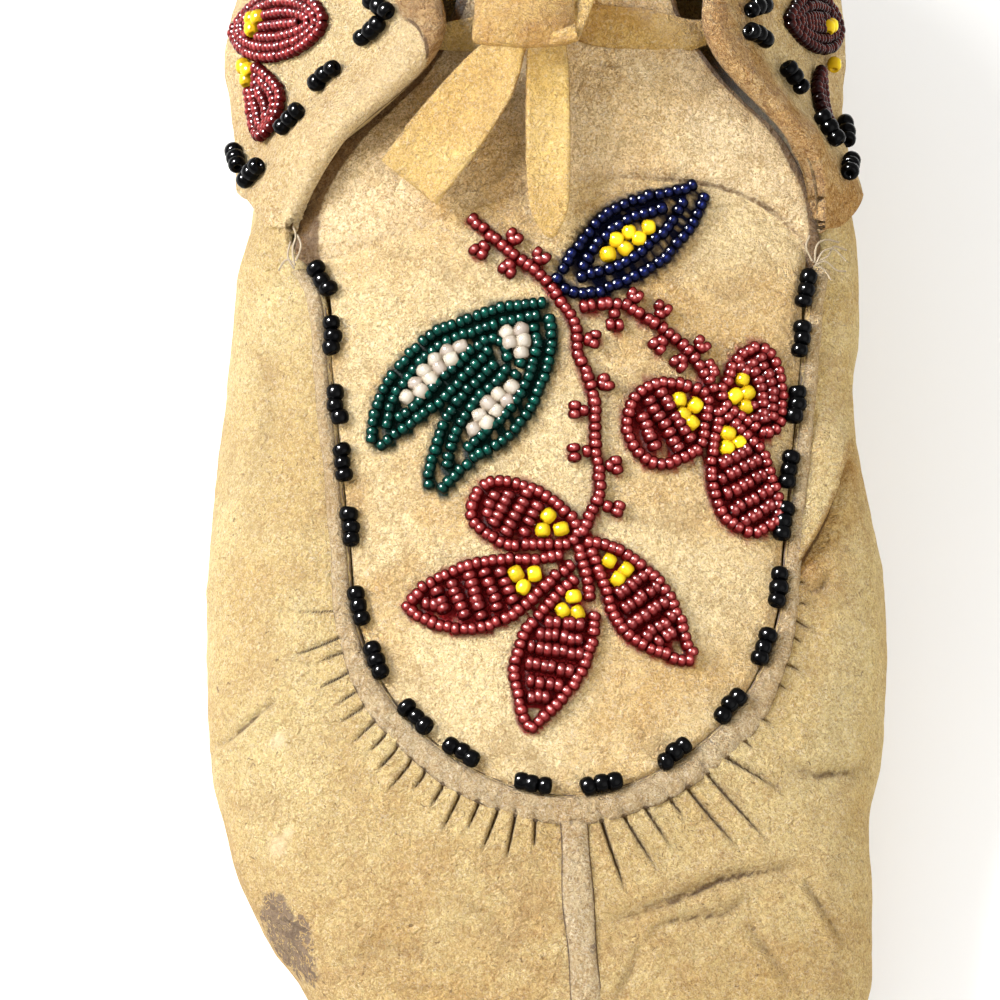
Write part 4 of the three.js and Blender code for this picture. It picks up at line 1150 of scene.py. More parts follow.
def build_wear_group():
    """Patches brushed pale, smoky tone that is partly painted shade, with fine lines, mottled stains, and
    painted shade in the creases.
    """
    group, given, result = new_group(
        "Creases and stains",
        [("Color", COLOUR, None), ("Crease", VALUE, 0), ("Grime", VALUE, 0), ("Pale", VALUE, 0),
         ("Smoke_and_shade", VALUE, 0)],
        [("Color", COLOUR)])
    place = object_place(group)
    patch = noise(group, place, *PATCHES)
    mottle = noise(group, place, *MOTTLE)
    middle = math_node(group, "ABSOLUTE", math_node(group, "SUBTRACT", mottle, 0.5))
    colour = given["Color"]
    pale = times(group, given["Pale"], ramp(group, patch, 0.25, 0.6, 0.3, 0.65))
    colour = mix(group, pale, colour, SCUFFED)
    # Smoked tone from a field that is real darker hide in places and painted shade and shadow in others, with
    # crazed fine lines
    smoke_and_shade = times(group, given["Smoke_and_shade"], ramp(group, patch, 0.3, 0.7, 0.4, 1.6))
    colour = shaded(group, smoke_and_shade, colour, SMOKE_SHADE)
    crazed = times(group, given["Smoke_and_shade"], ramp(group, middle, 0, 0.05, 1, 0))
    colour = shaded(group, crazed, colour, CRAZED_SHADE)
    gaps = ramp(group, middle, 0, 0.045, -0.55, 0.1)
    stain = plus(group, given["Grime"], ramp(group, patch, 0.3, 0.7, -0.3, 0.3))
    stain = plus(group, stain, gaps)
    dull = mix(group, ramp(group, mottle, 0.35, 0.65), STAIN_DARK, STAIN_LIGHT)
    colour = mix(group, ramp(group, stain, 0.52, 0.7, 0, 0.88), colour, dull)
    # Painted shade from the crease field in creases, folds and under overhangs; it also darkens a real patch
    # with its stitched seam on the cuff and real dirt beside the knot
    ragged = plus(group, given["Crease"], ramp(group, mottle, 0.3, 0.7, -0.12, 0.12))
    core = ramp(group, ragged, 0.36, 0.66, 0, 0.92)
    deep = math_node(group, "MAXIMUM", core, times(group, given["Crease"], 0.5))
    colour = shaded(group, deep, colour, CREASE_SHADE)
    group.links.new(colour, result["Color"])
    return group


def build_glass_group():
    """Bead glass: painted shade on the flank, a clear body and a painted highlight on the crown, with a tone
    for each bead.
    """
    group, given, result = new_group(
        "Bead glass",
        [("Crown", COLOUR, None), ("Body", COLOUR, None), ("Flank", COLOUR, None)],
        [("Color", COLOUR), ("Roughness", VALUE)])
    crown = field_value(group, "crown")
    tone = field_value(group, "tone")
    place = object_place(group)
    streak = noise(group, place, *STREAKS)
    # Painted shade on the flanks, then a painted highlight along the crown
    colour = mix(group, ramp(group, crown, 0.6, 0.93), given["Flank"], given["Body"])
    colour = mix(group, ramp(group, crown, 0.92, 0.998), colour, given["Crown"])
    colour = shaded(group, times(group, tone, 0.7), colour, DIM_GLASS)
    group.links.new(colour, result["Color"])
    group.links.new(ramp(group, streak, 0.3, 0.7, 0.1, 0.17), result["Roughness"])
    return group


def shared_group(name, build):
    """A node group, built the first time that it is asked for."""
    return bpy.data.node_groups.get(name) or build()


def material_start(name):
    """Empty material with its shader."""
    material = bpy.data.materials.new(name)
    material.use_nodes = True
    tree = material.node_tree
    return material, tree, tree.nodes["Principled BSDF"]


def hide_material(name, colour, blotch=1.0, fibre=1.0, dirt=1.0, flecks=1.0, painted_shades=()):
    """Brushed smoked hide, with painted shade tinted by the beads' glass where the named fields say."""
    material, tree, shader = material_start(name)
    nap = add_node(tree, "ShaderNodeGroup", node_tree=shared_group("Brushed hide nap", build_nap_group))
    nap.inputs["Color"].default_value = tuple(colour) + (1,)
    for socket, value in (("Blotch", blotch), ("Fibre", fibre), ("Dirt", dirt), ("Flecks", flecks)):
        nap.inputs[socket].default_value = value
    wear = add_node(tree, "ShaderNodeGroup", node_tree=shared_group("Creases and stains", build_wear_group))
    tree.links.new(nap.outputs["Color"], wear.inputs["Color"])
    for socket in ("Crease", "Grime", "Pale", "Smoke_and_shade"):
        tree.links.new(field_value(tree, socket.lower()), wear.inputs[socket])
    surface = wear.outputs["Color"]
    # Painted shade under and between the beads, tinted as by light through their glass
    for field_name, shade_colour in painted_shades:
        surface = mix(tree, field_value(tree, field_name), surface, tuple(shade_colour) + (1,))
    tree.links.new(surface, shader.inputs["Base Color"])
    tree.links.new(nap.outputs["Roughness"], shader.inputs["Roughness"])
    links = {"Strength": 1, "Distance": NAP_DEPTH, "Height": nap.outputs["Height"]}
    relief = add_node(tree, "ShaderNodeBump", links)
    tree.links.new(relief.outputs["Normal"], shader.inputs["Normal"])
    shader.inputs["Specular IOR Level"].default_value = DULL_SPECULAR
    shader.inputs["Sheen Weight"].default_value = SHEEN
    shader.inputs["Sheen Roughness"].default_value = SHEEN_ROUGHNESS
    return material


def bead_material(name, crown, body, flank, shine=0.08):
    """Glossy bead glass, with a painted highlight on its crown and painted shade on its flanks."""
    material, tree, shader = material_start(name)
    glass = add_node(tree, "ShaderNodeGroup", node_tree=shared_group("Bead glass", build_glass_group))
    for socket, colour in (("Crown", crown), ("Body", body), ("Flank", flank)):
        glass.inputs[socket].default_value = tuple(colour) + (1,)
    tree.links.new(glass.outputs["Color"], shader.inputs["Base Color"])
    tree.links.new(glass.outputs["Roughness"], shader.inputs["Roughness"])
    shader.inputs["Specular IOR Level"].default_value = shine
    return material


def thread_material(name, colour):
    """Waxed sewing thread."""
    material, tree, shader = material_start(name)
    place = object_place(tree)
    twist = noise(tree, place, *TWIST)
    dark = tuple(TWIST_SHADE * value for value in colour) + (1,)
    tree.links.new(mix(tree, twist, dark, tuple(colour) + (1,)), shader.inputs["Base Color"])
    tree.links.new(ramp(tree, twist, 0.3, 0.7, 0.55, 0.8), shader.inputs["Roughness"])
    shader.inputs["Specular IOR Level"].default_value = DULL_SPECULAR
    return material


def floor_material(name, colour):
    """Plain pale paper."""
    material, tree, shader = material_start(name)
    place = object_place(tree)
    tooth = noise(tree, place, *TOOTH)
    shade = tuple(TOOTH_SHADE * value for value in colour) + (1,)
    tree.links.new(mix(tree, tooth, shade, tuple(colour) + (1,)), shader.inputs["Base Color"])
    shader.inputs["Roughness"].default_value = PAPER_ROUGHNESS
    shader.inputs["Specular IOR Level"].default_value = PAPER_SPECULAR
    return material


# Settings


def colour_property(name, description, default):
    return bpy.props.FloatVectorProperty(
        name=name, description=description, default=default, size=3, min=0, max=1, subtype="COLOR")


def length_property(name, description, default):
    return bpy.props.FloatProperty(
        name=name, description=description, default=default, min=0, unit="LENGTH")


def crown_property(name, default):
    return colour_property(f"{name} crown", f"Lit crown of the {name.lower()} beads", default)


class MoccasinHide(bpy.types.PropertyGroup):
    """Hide, tie and sewing."""

    body: colour_property("Body", "Colour of the sole and sides", (0.70, 0.545, 0.245))
    vamp: colour_property("Vamp", "Colour of the vamp", (0.875, 0.685, 0.36))
    # The tongue's colour is lighter than the vamp's, as painted light to lift its shaded place
    tongue: colour_property("Tongue", "Colour of the tongue", (0.96, 0.755, 0.435))
    cuff: colour_property("Cuff", "Colour of the cuff", (0.71, 0.54, 0.26))
    welt: colour_property("Welt", "Colour of the welts", (0.57, 0.435, 0.24))
    thong: colour_property("Thong", "Colour of the tie", (0.80, 0.555, 0.185))
    thread: colour_property("Thread", "Colour of the sewing thread", (0.15, 0.085, 0.042))
    lump: length_property("Lumps", "Height of the hide's soft unevenness", 0.00045)
    frayed: colour_property("Frayed thread", "Colour of the frayed thread ends", (0.46, 0.36, 0.23))
    thread_radius: length_property("Thread radius", "Radius of the sewing thread", 0.0002)


class MoccasinBeads(bpy.types.PropertyGroup):
    """Bead glass: painted highlight colours of the crowns, and the glass of the red beads' body."""

    red: crown_property("Red", (0.84, 0.36, 0.33))
    garnet: colour_property("Red body", "Glass of the red beads", (0.25, 0.026, 0.025))
    wine: crown_property("Wine", (0.56, 0.13, 0.115))
    brown: crown_property("Brown", (0.17, 0.034, 0.02))
    green: crown_property("Green", (0.014, 0.19, 0.135))
    blue: crown_property("Blue", (0.02, 0.035, 0.24))
    yellow: crown_property("Yellow", (0.96, 0.82, 0.06))
    white: crown_property("White", (0.66, 0.62, 0.53))
    black: crown_property("Black", (0.003, 0.003, 0.0035))


class MoccasinStage(bpy.types.PropertyGroup):
    """Floor, light and camera."""

    floor: colour_property("Floor", "Colour of the paper under the shoe", (0.9, 0.9, 0.895))
    key: bpy.props.FloatProperty(
        name="Key light", description="Power of the window light", default=12.5, min=0, unit="POWER")
    sky: bpy.props.FloatProperty(
        name="Sky light", description="Strength of the light from all round", default=0.8, min=0)
    distance: length_property("Camera distance", "Distance of the camera from the shoe", 0.6)
    elevation: bpy.props.FloatProperty(
        name="Elevation", description="Angle of the camera above the floor", default=math.radians(62),
        subtype="ANGLE")


SETTINGS = {
    "moccasin_hide": MoccasinHide,
    "moccasin_beads": MoccasinBeads,
    "moccasin_stage": MoccasinStage,
}

# Camera target in the tables' millimetres, and the lens for a square picture
TARGET = np.array((-11.0, -28.0, 61.0))
LENS = 132.8
SENSOR = 36.0

# Lights: place, aim and size in metres, and power as a multiple of the key light's. The glint only makes
# highlights.
Light = namedtuple("Light", "place aim size power")
WINDOW = Light((-0.7, 0, 0.66), (0, 0, 0.03), 0.5, 1)
REFLECTOR = Light((0.5, -0.5, 0.6), (0, 0, 0.03), 0.9, 0.4)
GLINT = Light((-0.5, 0.16, 0.78), (0, 0, 0.06), 0.14, 39)
ROOM_COLOUR = (1, 0.99, 0.97, 1)
FLOOR_SIZE = 6
FLOOR_Z = -0.0002


class MOCCASIN_OT_stage(bpy.types.Operator):
    """Set up the camera, the light and the floor"""

    bl_idname = "moccasin.stage"
    bl_label = "Stage"

    def execute(self, context):
        settings = context.scene.moccasin_stage
        target = (TARGET + CENTRE) * MM
        camera = bpy.data.objects.new("camera", bpy.data.cameras.new("camera"))
        camera.data.lens = LENS
        camera.data.sensor_width = SENSOR
        camera.data.sensor_fit = "HORIZONTAL"
        back = np.array((0, -math.cos(settings.elevation), math.sin(settings.elevation)))
        camera.location = target + back * settings.distance
        camera.rotation_euler = (math.pi / 2 - settings.elevation, 0, 0)
        context.scene.collection.objects.link(camera)
        context.scene.camera = camera
        self.add_light(context, "window", WINDOW, settings.key)
        self.add_light(context, "reflector", REFLECTOR, settings.key)
        glint = self.add_light(context, "glint", GLINT, settings.key)
        glint.visible_diffuse = False
        world = bpy.data.worlds.new("soft room")
        world.use_nodes = True
        background = world.node_tree.nodes["Background"]
        background.inputs["Color"].default_value = ROOM_COLOUR
        background.inputs["Strength"].default_value = settings.sky
        context.scene.world = world
        context.scene.view_settings.view_transform = "Standard"
        bpy.ops.mesh.primitive_grid_add(
            x_subdivisions=4, y_subdivisions=4, size=FLOOR_SIZE, location=(0, 0, FLOOR_Z))
        floor = context.object
        floor.name = "paper_floor"
        floor.data.materials.append(floor_material("paper", settings.floor))
        return {"FINISHED"}

    def add_light(self, context, name, light, key):
        disk = bpy.data.lights.new(name, "AREA")
        disk.shape = "DISK"
        disk.size = light.size
        disk.energy = key * light.power
        lamp = bpy.data.objects.new(name, disk)
        lamp.location = light.place
        toward = np.array(light.place) - np.array(light.aim)
        tilt = math.acos(toward[2] / norm(toward))
        lamp.rotation_euler = (tilt, 0, math.atan2(toward[1], toward[0]) + math.pi / 2)
        context.scene.collection.objects.link(lamp)
        return lamp


# Thong: points along and across, sag as a part of its width, thinning toward its edges, lumps, and the
# place beside the knot, which is soiled and painted with shade
LEFT_POINTS = 130
RIGHT_POINTS = 100
ACROSS_POINTS = 11
THONG_SAG = 0.13
THONG_THINNING = 0.35
THONG_EDGE = 0.25
THONG_LUMPS = ((6, 0.16, 11), (2.6, 0.12, 12))
DIRT_AND_SHADE_AT = (0, -8, -6)
DIRT_AND_SHADE_RADIUS = 17.0
DIRT_AND_SHADE_CREASE = 0.42

# Knot: points round and along it, the poles' distance from its axis, and the grooves between its turns
KNOT_POINTS = (40, 26)
KNOT_POLE = 0.02
KNOT_GROOVE = 0.1


class MOCCASIN_OT_tie(bpy.types.Operator):
    """Lay the tie across the tongue, with its knot, loop and two ends"""

    bl_idname = "moccasin.tie"
    bl_label = "Tie"

    def execute(self, context):
        settings = context.scene.moccasin_hide
        thong = hide_material("smoked_thong", settings.thong, 0.9, 0.9, 0.4, 0.5)
        knot = self.knot(thong)
        crossing = ("lace_crossing", "lace_loop", "lace_end_left")
        left, left_path = self.strand("tie_left", TIE_LEFT, LEFT_POINTS, thong, crossing)
        right, right_path = self.strand("tie_right", TIE_RIGHT, RIGHT_POINTS, thong, ("lace_end_right",))
        cords = ((left, left_path, 0.012, (knot,)), (right, right_path, 0.0066, ()))
        for piece, path, width, pieces in cords:
            length = float(np.sum(norm(np.diff(path, axis=0), axis=1)))
        return {"FINISHED"}

    def strand(self, name, rows, count, material, replaced):
        t = np.linspace(0, len(rows) - 1, count)
        path = spline([(row.x, row.y, row.z) for row in rows], t)
        width = spline([(row.width, 0) for row in rows], t)[:, 0]
        across = spline([row.across for row in rows], t)
        along = unit(np.gradient(path, axis=0))
        across = unit(across - along * np.sum(across * along, -1, keepdims=True))
        normal = np.cross(across, along)
        s = np.linspace(-1, 1, ACROSS_POINTS)
        sag = THONG_SAG * width[:, None] * s[None] ** 2
        edge = 0.5 * width[:, None] * s[None]
        middle = path[:, None] + across[:, None] * edge[..., None] - normal[:, None] * sag[..., None]
        uneven = lumps(middle, THONG_LUMPS)
        thick = THONG / 2 * (1 - THONG_THINNING * np.abs(s[None]) ** 4) * np.ones_like(sag)
        top = middle + normal[:, None] * (thick + uneven)[..., None]
        bottom = middle - normal[:, None] * (thick - uneven)[..., None]
        points, faces = slab(top, bottom, THONG_EDGE)
        # Dirt and painted shade beside the knot, under the loop
        dirt_and_shade_centre = np.array(KNOT.at) + np.array(DIRT_AND_SHADE_AT)
        near = bump(norm(middle - dirt_and_shade_centre, axis=-1), DIRT_AND_SHADE_RADIUS)
        fields = {"crease": slab_field(DIRT_AND_SHADE_CREASE * near), "smoke_and_shade": slab_field(near)}
        piece = make_piece(name, points, faces, material, replaced, fields)
        return piece, (path + CENTRE) * MM

    def knot(self, material):
        turns = np.linspace(0, 2 * math.pi, KNOT_POINTS[0])[:-1]
        rows = np.linspace(KNOT_POLE, math.pi - KNOT_POLE, KNOT_POINTS[1])
        a, b = np.meshgrid(rows, turns, indexing="ij")
        wrap = 1 - KNOT_GROOVE * np.abs(np.sin(2.5 * b + 1.6 * np.cos(a))) ** 6
        shape = np.stack([np.cos(a), np.sin(a) * np.cos(b), np.sin(a) * np.sin(b)], -1)
        points = np.array(KNOT.at) + shape * np.array(KNOT.size) * wrap[..., None]
        index = np.arange(a.size).reshape(a.shape)
        faces = grid_faces(np.concatenate([index, index[:, :1]], 1))
        faces += [index[0].tolist(), index[-1].tolist()[::-1]]
        faces = flipped(faces)
        return make_piece("tie_knot", points.reshape(-1, 3), faces, material, ("lace_knot",))


# Body: columns from toe to heel and how much closer the gathered ones are, rows below and above the widest
# point and inside, points across the sole, lumps, and dirt under it
BODY_COLUMNS = 412
GATHERED_CROWDING = 4.2
LOWER_ROWS = 9
UPPER_ROWS = 84
UPPER_CROWDING = 0.9
INNER_ROWS = 8
SOLE_POINTS = 18
BRIM = 0.3
BODY_LUMPS = ((26, 1, 3), (9, 0.45, 4), (4, 0.18, 6))
SOLE_LUMPS = ((30, 0.12, 5),)
SOLE_GRIME = 0.42

# Gathers: how far they run on past their charted end, half widths of groove, shoulders and painted dark line
# of shade, and depth and height of groove and shoulders
GATHER_RUN = 1.15
GATHER_END = 1.1
GATHER_GROOVE = 0.3
GATHER_SHOULDER = 1.7
GATHER_LINE = 0.27
GATHER_DROP = 1.5
GATHER_RISE = 0.55

# Creases: height of the whole, and place and width of the ridge and of the painted dark line of shade, as
# parts of the width
CREASE_HEIGHT = 1.3
RIDGE_PLACE = 2.4
RIDGE_WIDTH = 1.7
CREASE_LINE = 0.75

# Stain on the toe: place, half width, half length and slant
Stain = namedtuple("Stain", "x y width length slant")
STAIN = Stain(-46, -90, 4.3, 7.6, 0.5)
SCUFF_STRENGTH = 1.3
# Smoked tone on the toe, partly painted shade, and painted shadow under the lap
TOE_SMOKE_AND_SHADE = 0.42
LAP_SHADOW = 0.7


class MOCCASIN_OT_body(bpy.types.Operator):
    """Shape the hollow hide of the sole and sides, with its gathers and creases"""

    bl_idname = "moccasin.body"
    bl_label = "Sole and sides"

    def execute(self, context):
        settings = context.scene.moccasin_hide
        half = self.columns(BODY_COLUMNS)
        u = np.concatenate([half, -half[-2:0:-1]])
        count = len(u)
        upper = 1 + np.linspace(0, 1, UPPER_ROWS)[1:] ** UPPER_CROWDING
        v = np.concatenate([np.linspace(0, 1, LOWER_ROWS), upper])
        uu, vv = np.meshgrid(u, v, indexing="ij")
        point, normal, slope, _ = slopes(wall, uu, vv, 0, 2)
        outward = -normal
        steps = norm(np.diff(point, axis=1), axis=-1)
        below = np.concatenate([np.cumsum(steps[:, ::-1], 1)[:, ::-1], np.zeros((count, 1))], 1)
        speed = norm(slope, axis=-1)
        relief, crease = self.relief(uu, vv, point, speed, below, settings.lump / MM)
        outer = point + outward * relief[..., None]
        keep = np.linspace(len(v) - 1, 0, INNER_ROWS).round().astype(int)
        inner = (point - outward * (HIDE - 0.6 * np.minimum(relief, 0.5))[..., None])[:, keep]
        brim = point[:, -1] - outward[:, -1] * HIDE / 2 + arrival(u) * BRIM
        ring = np.concatenate([outer, brim[:, None], inner], 1)
        rows = ring.shape[1]
        index = np.arange(count * rows).reshape(count, rows)
        faces = flipped(grid_faces(np.concatenate([index, index[:1]]).T))
        under, under_faces = self.floor(ring[:, 0], index[:, 0], 0, count * rows)
        inside, inside_faces = self.floor(ring[:, -1], index[:, -1], HIDE, count * rows + len(under))
        faces += under_faces + flipped(inside_faces)
        points = np.concatenate([ring.reshape(-1, 3), under, inside])

        def whole(values, sole=0.0):
            padded = np.pad(values, ((0, 0), (0, rows - len(v))))
            return np.concatenate([padded.ravel(), np.full(len(under), sole), np.zeros(len(inside))])

        # The crease field is painted shade in the gathers, the creases and along the lap
        fields = {
            "crease": whole(crease),
            "grime": whole(self.grime(outer), SOLE_GRIME),
            "pale": whole(self.scuffs(outer)),
            "smoke_and_shade": whole(self.smoke_and_shade(outer)),
        }
        material = hide_material("smoked_hide", settings.body, 1, 1, 1.3)
        make_piece("hide_body", points, faces, material, ("upper_and_sole",), fields)
        return {"FINISHED"}

    def columns(self, count):
        """Sections from toe tip to heel, closer where the hide is gathered."""
        u = np.linspace(0, RING / 2, 2000)
        speed = norm(np.gradient(rim_at(u) + widest_at(u), axis=0), axis=1)
        weight = speed * (1 + GATHERED_CROWDING * fall(u, 6, 9))
        length = np.cumsum(weight)
        return np.interp(np.linspace(length[0], length[-1], count), length, u)

    def floor(self, edge, index, lift, first):
        """Flat part of the sole inside the ring of its edge."""
        count = len(edge)
        across = np.linspace(0, 1, SOLE_POINTS)[1:-1]
        points = []
        rows = [[int(index[0])] * (len(across) + 2)]
        for k in range(1, count // 2):
            line = edge[k] + (edge[count - k] - edge[k]) * across[:, None]
            wave = lumps(line, SOLE_LUMPS)
            base = sole_height(line[:, 0], line[:, 1])
            line[:, 2] = base + lift + np.where(lift > 0, wave, np.maximum(wave, 0) * 0.4)
            start = first + len(points) * len(across)
            points.append(line)
            rows.append([int(index[k]), *range(start, start + len(across)), int(index[count - k])])
        rows.append([int(index[count // 2])] * (len(across) + 2))
        return np.concatenate(points), grid_faces(np.array(rows))

    def relief(self, u, v, point, speed, below, lump):
        """Height of gathers, creases and lumps above the plain wall, and the painted shade in the creases at
        each place.
        """
        turned = np.where(u > RING / 2, u - RING, u)
        upper = smooth(v, 1.02, 1.22) * smooth(below, 0.8, 3)
        forms = [self.gather(row, turned, speed, below) for row in GATHERS]
        forms += [self.crease(row, point, upper) for row in CREASES]
        forms.append(self.lap(turned, v, point, below))
        heights, darkness = zip(*forms)
        still = smooth(v, 0.2, 0.9) * smooth(below, 0.4, 4)
        return sum(heights) + lump * lumps(point, BODY_LUMPS) * still, np.maximum.reduce(darkness)

    def gather(self, row, turned, speed, below):
        """Height of one gather, a groove between two shoulders, and the painted shade in its groove."""
        end = row.start + (row.end - row.start) * GATHER_RUN
        t = (below - row.start) / (end - row.start)
        line = row.u + (row.u_end - row.u) * np.clip(t, 0, GATHER_END)
        across = np.abs(turned - line) * speed
        fade = fall(t, 0.5, GATHER_END) * smooth(below, 0.6, row.start - 0.6)
        form = GATHER_RISE * bump(across, GATHER_SHOULDER) - GATHER_DROP * bump(across, GATHER_GROOVE)
        thin = GATHER_LINE * (1 - 0.4 * np.clip(t, 0, 1))
        return row.depth * fade * form, fade * bump(across, thin) * min(1, 0.55 + row.depth)

    def crease(self, row, point, upper):
        """Height of one crease, a trough with a ridge on one side, and the painted shade in its trough."""
        signed, along = polyline_field(point, row.line)
        fade = np.sin(math.pi * np.clip(0.04 + 0.92 * along, 0, 1)) ** 0.6 * upper
        fade = fade * smooth(along, -0.001, 0.12) * fall(along, 0.88, 1.001)
        trough = bump(signed, row.width)
        ridge = bump(signed - row.side * RIDGE_PLACE * row.width, RIDGE_WIDTH * row.width)
        dark = fade * bump(signed, CREASE_LINE * row.width)
        height = CREASE_HEIGHT * fade * (row.ridge * ridge - row.depth * trough)
        return height, dark * min(1, 0.13 + 0.75 * row.depth)

    def lap(self, turned, v, point, below):
        """Height of the lap, a step with a hollow before it, and the painted shadow along its edge."""
        signed, along = polyline_field(point, LAP.line)
        fade = smooth(along, 0, 0.3) * fall(along, 0.9, 1) * smooth(v, 1.1, 1.4)
        fade = fade * np.where(turned < 0, 1, 0)
        step = smooth(signed, -0.5, 0.5) * fall(signed, 1.5, LAP.reach) * smooth(below, 1.2, 4)
        height = fade * (LAP.height * step - 0.7 * bump(signed + 0.9, 0.8))
        return height, 0.95 * fade * bump(signed + 0.45, 0.5)

    def scuffs(self, point):
        """Spots where the smoke colour has been rubbed off."""
        pale = np.zeros(point.shape[:-1])
        for x, y, size in SCUFFS:
            square = ((point[..., 0] - x) ** 2 + (point[..., 1] - y) ** 2) / size ** 2
            pale = np.maximum(pale, SCUFF_STRENGTH * np.exp(-square ** 2))
        return pale * smooth(point[..., 2], 8, 16)

    def grime(self, point):
        """Dirt along the edge of the sole and in one stain on the toe."""
        z = point[..., 2]
        edge = 0.5 * fall(z, 1, 12)
        along = point[..., 1] - STAIN.y
        side = (point[..., 0] - STAIN.x + STAIN.slant * along) / STAIN.width
        stain = np.exp(-(side ** 2 + (along / STAIN.length) ** 2) ** 2) * smooth(z, 14, 19)
        return np.clip(edge + 0.95 * stain, 0, 1)

    def smoke_and_shade(self, point):
        """Deeper smoked tone over the toe, partly painted shade there, and painted shadow under the lap."""
        x = point[..., 0]
        toe = TOE_SMOKE_AND_SHADE * smooth(-point[..., 1], 58, 92) * (1 - 0.25 * smooth(x, 0, 30))
        signed, along = polyline_field(point, LAP.line)
        lap = bump(signed + 0.5, 5) * fall(signed, -0.4, 0.2) * smooth(along, 0.05, 0.3)
        return np.maximum(toe, LAP_SHADOW * lap * smooth(x, 20, 30))


def vamp_place(s, u, arch):
    """Plan point of the vamp: s across, u along its seam, arch from 0 to 1 up to its top edge."""
    a = rim_at(u)
    b = rim_at(RING - u)
    middle = (a[..., 0] + b[..., 0]) / 2
    ease = VAMP_SEAM_GAP + VAMP_EASE * smooth(u, VAMP_EASE_FROM, VAMP_TOP)
    half = np.maximum(0, (b[..., 0] - a[..., 0]) / 2 - ease)
    y = np.maximum(a[..., 1], TIP_Y + GAP) + arch * vamp_arch(s)
    return middle + s * half, y, half


def bead_shade(x, y, lines, closed_lines=(), near=1.1, far=1.5):
    """How far the hide lies under or beside beads along these lines, from 0 to 1, for their painted shade."""
    centres = [along_line(line, SHADE_STEP)[0] for line in lines]
    centres += [along_line(line, SHADE_STEP, True)[0] for line in closed_lines]
    centres = np.concatenate(centres)
    shade = np.zeros(x.shape)
    for k in range(len(x)):
        gap = np.hypot(x[k][:, None] - centres[:, 0], y[k][:, None] - centres[:, 1]).min(1)
        shade[k] = fall(gap, near, far)
    return shade


# Vamp: points across, along its seam and up to its top edge, its lumps, and how far its edges turn down
VAMP_ACROSS = 121
VAMP_ALONG = 110
VAMP_ABOVE = 16
VAMP_START = 0.02
VAMP_CROWDING = 0.35
VAMP_LUMPS = ((24, 1, 21), (8, 0.4, 22))
VAMP_EVENNESS = 0.55
SEAM_TURN = 0.75
TOP_TURN = 0.9
SHADE_STEP = 0.9

# Painted shade on the hide under and between the beads, tinted as by light through each glass: field and
# colour
BEAD_SHADE_TINTS = (
    ("red_shade", (0.24, 0.007, 0.008)),
    ("green_shade", (0.003, 0.02, 0.014)),
    ("blue_shade", (0.002, 0.003, 0.018)),
)

# Tongue: points along and across, its lumps, and the rise beyond the vamp's edge and at its medial side
TONGUE_ALONG = 90
TONGUE_ACROSS = 91
TONGUE_LUMPS = ((17, 1, 31), (7, 0.5, 32))
TONGUE_RISE = 2.8
TONGUE_SIDE_RISE = 0.5


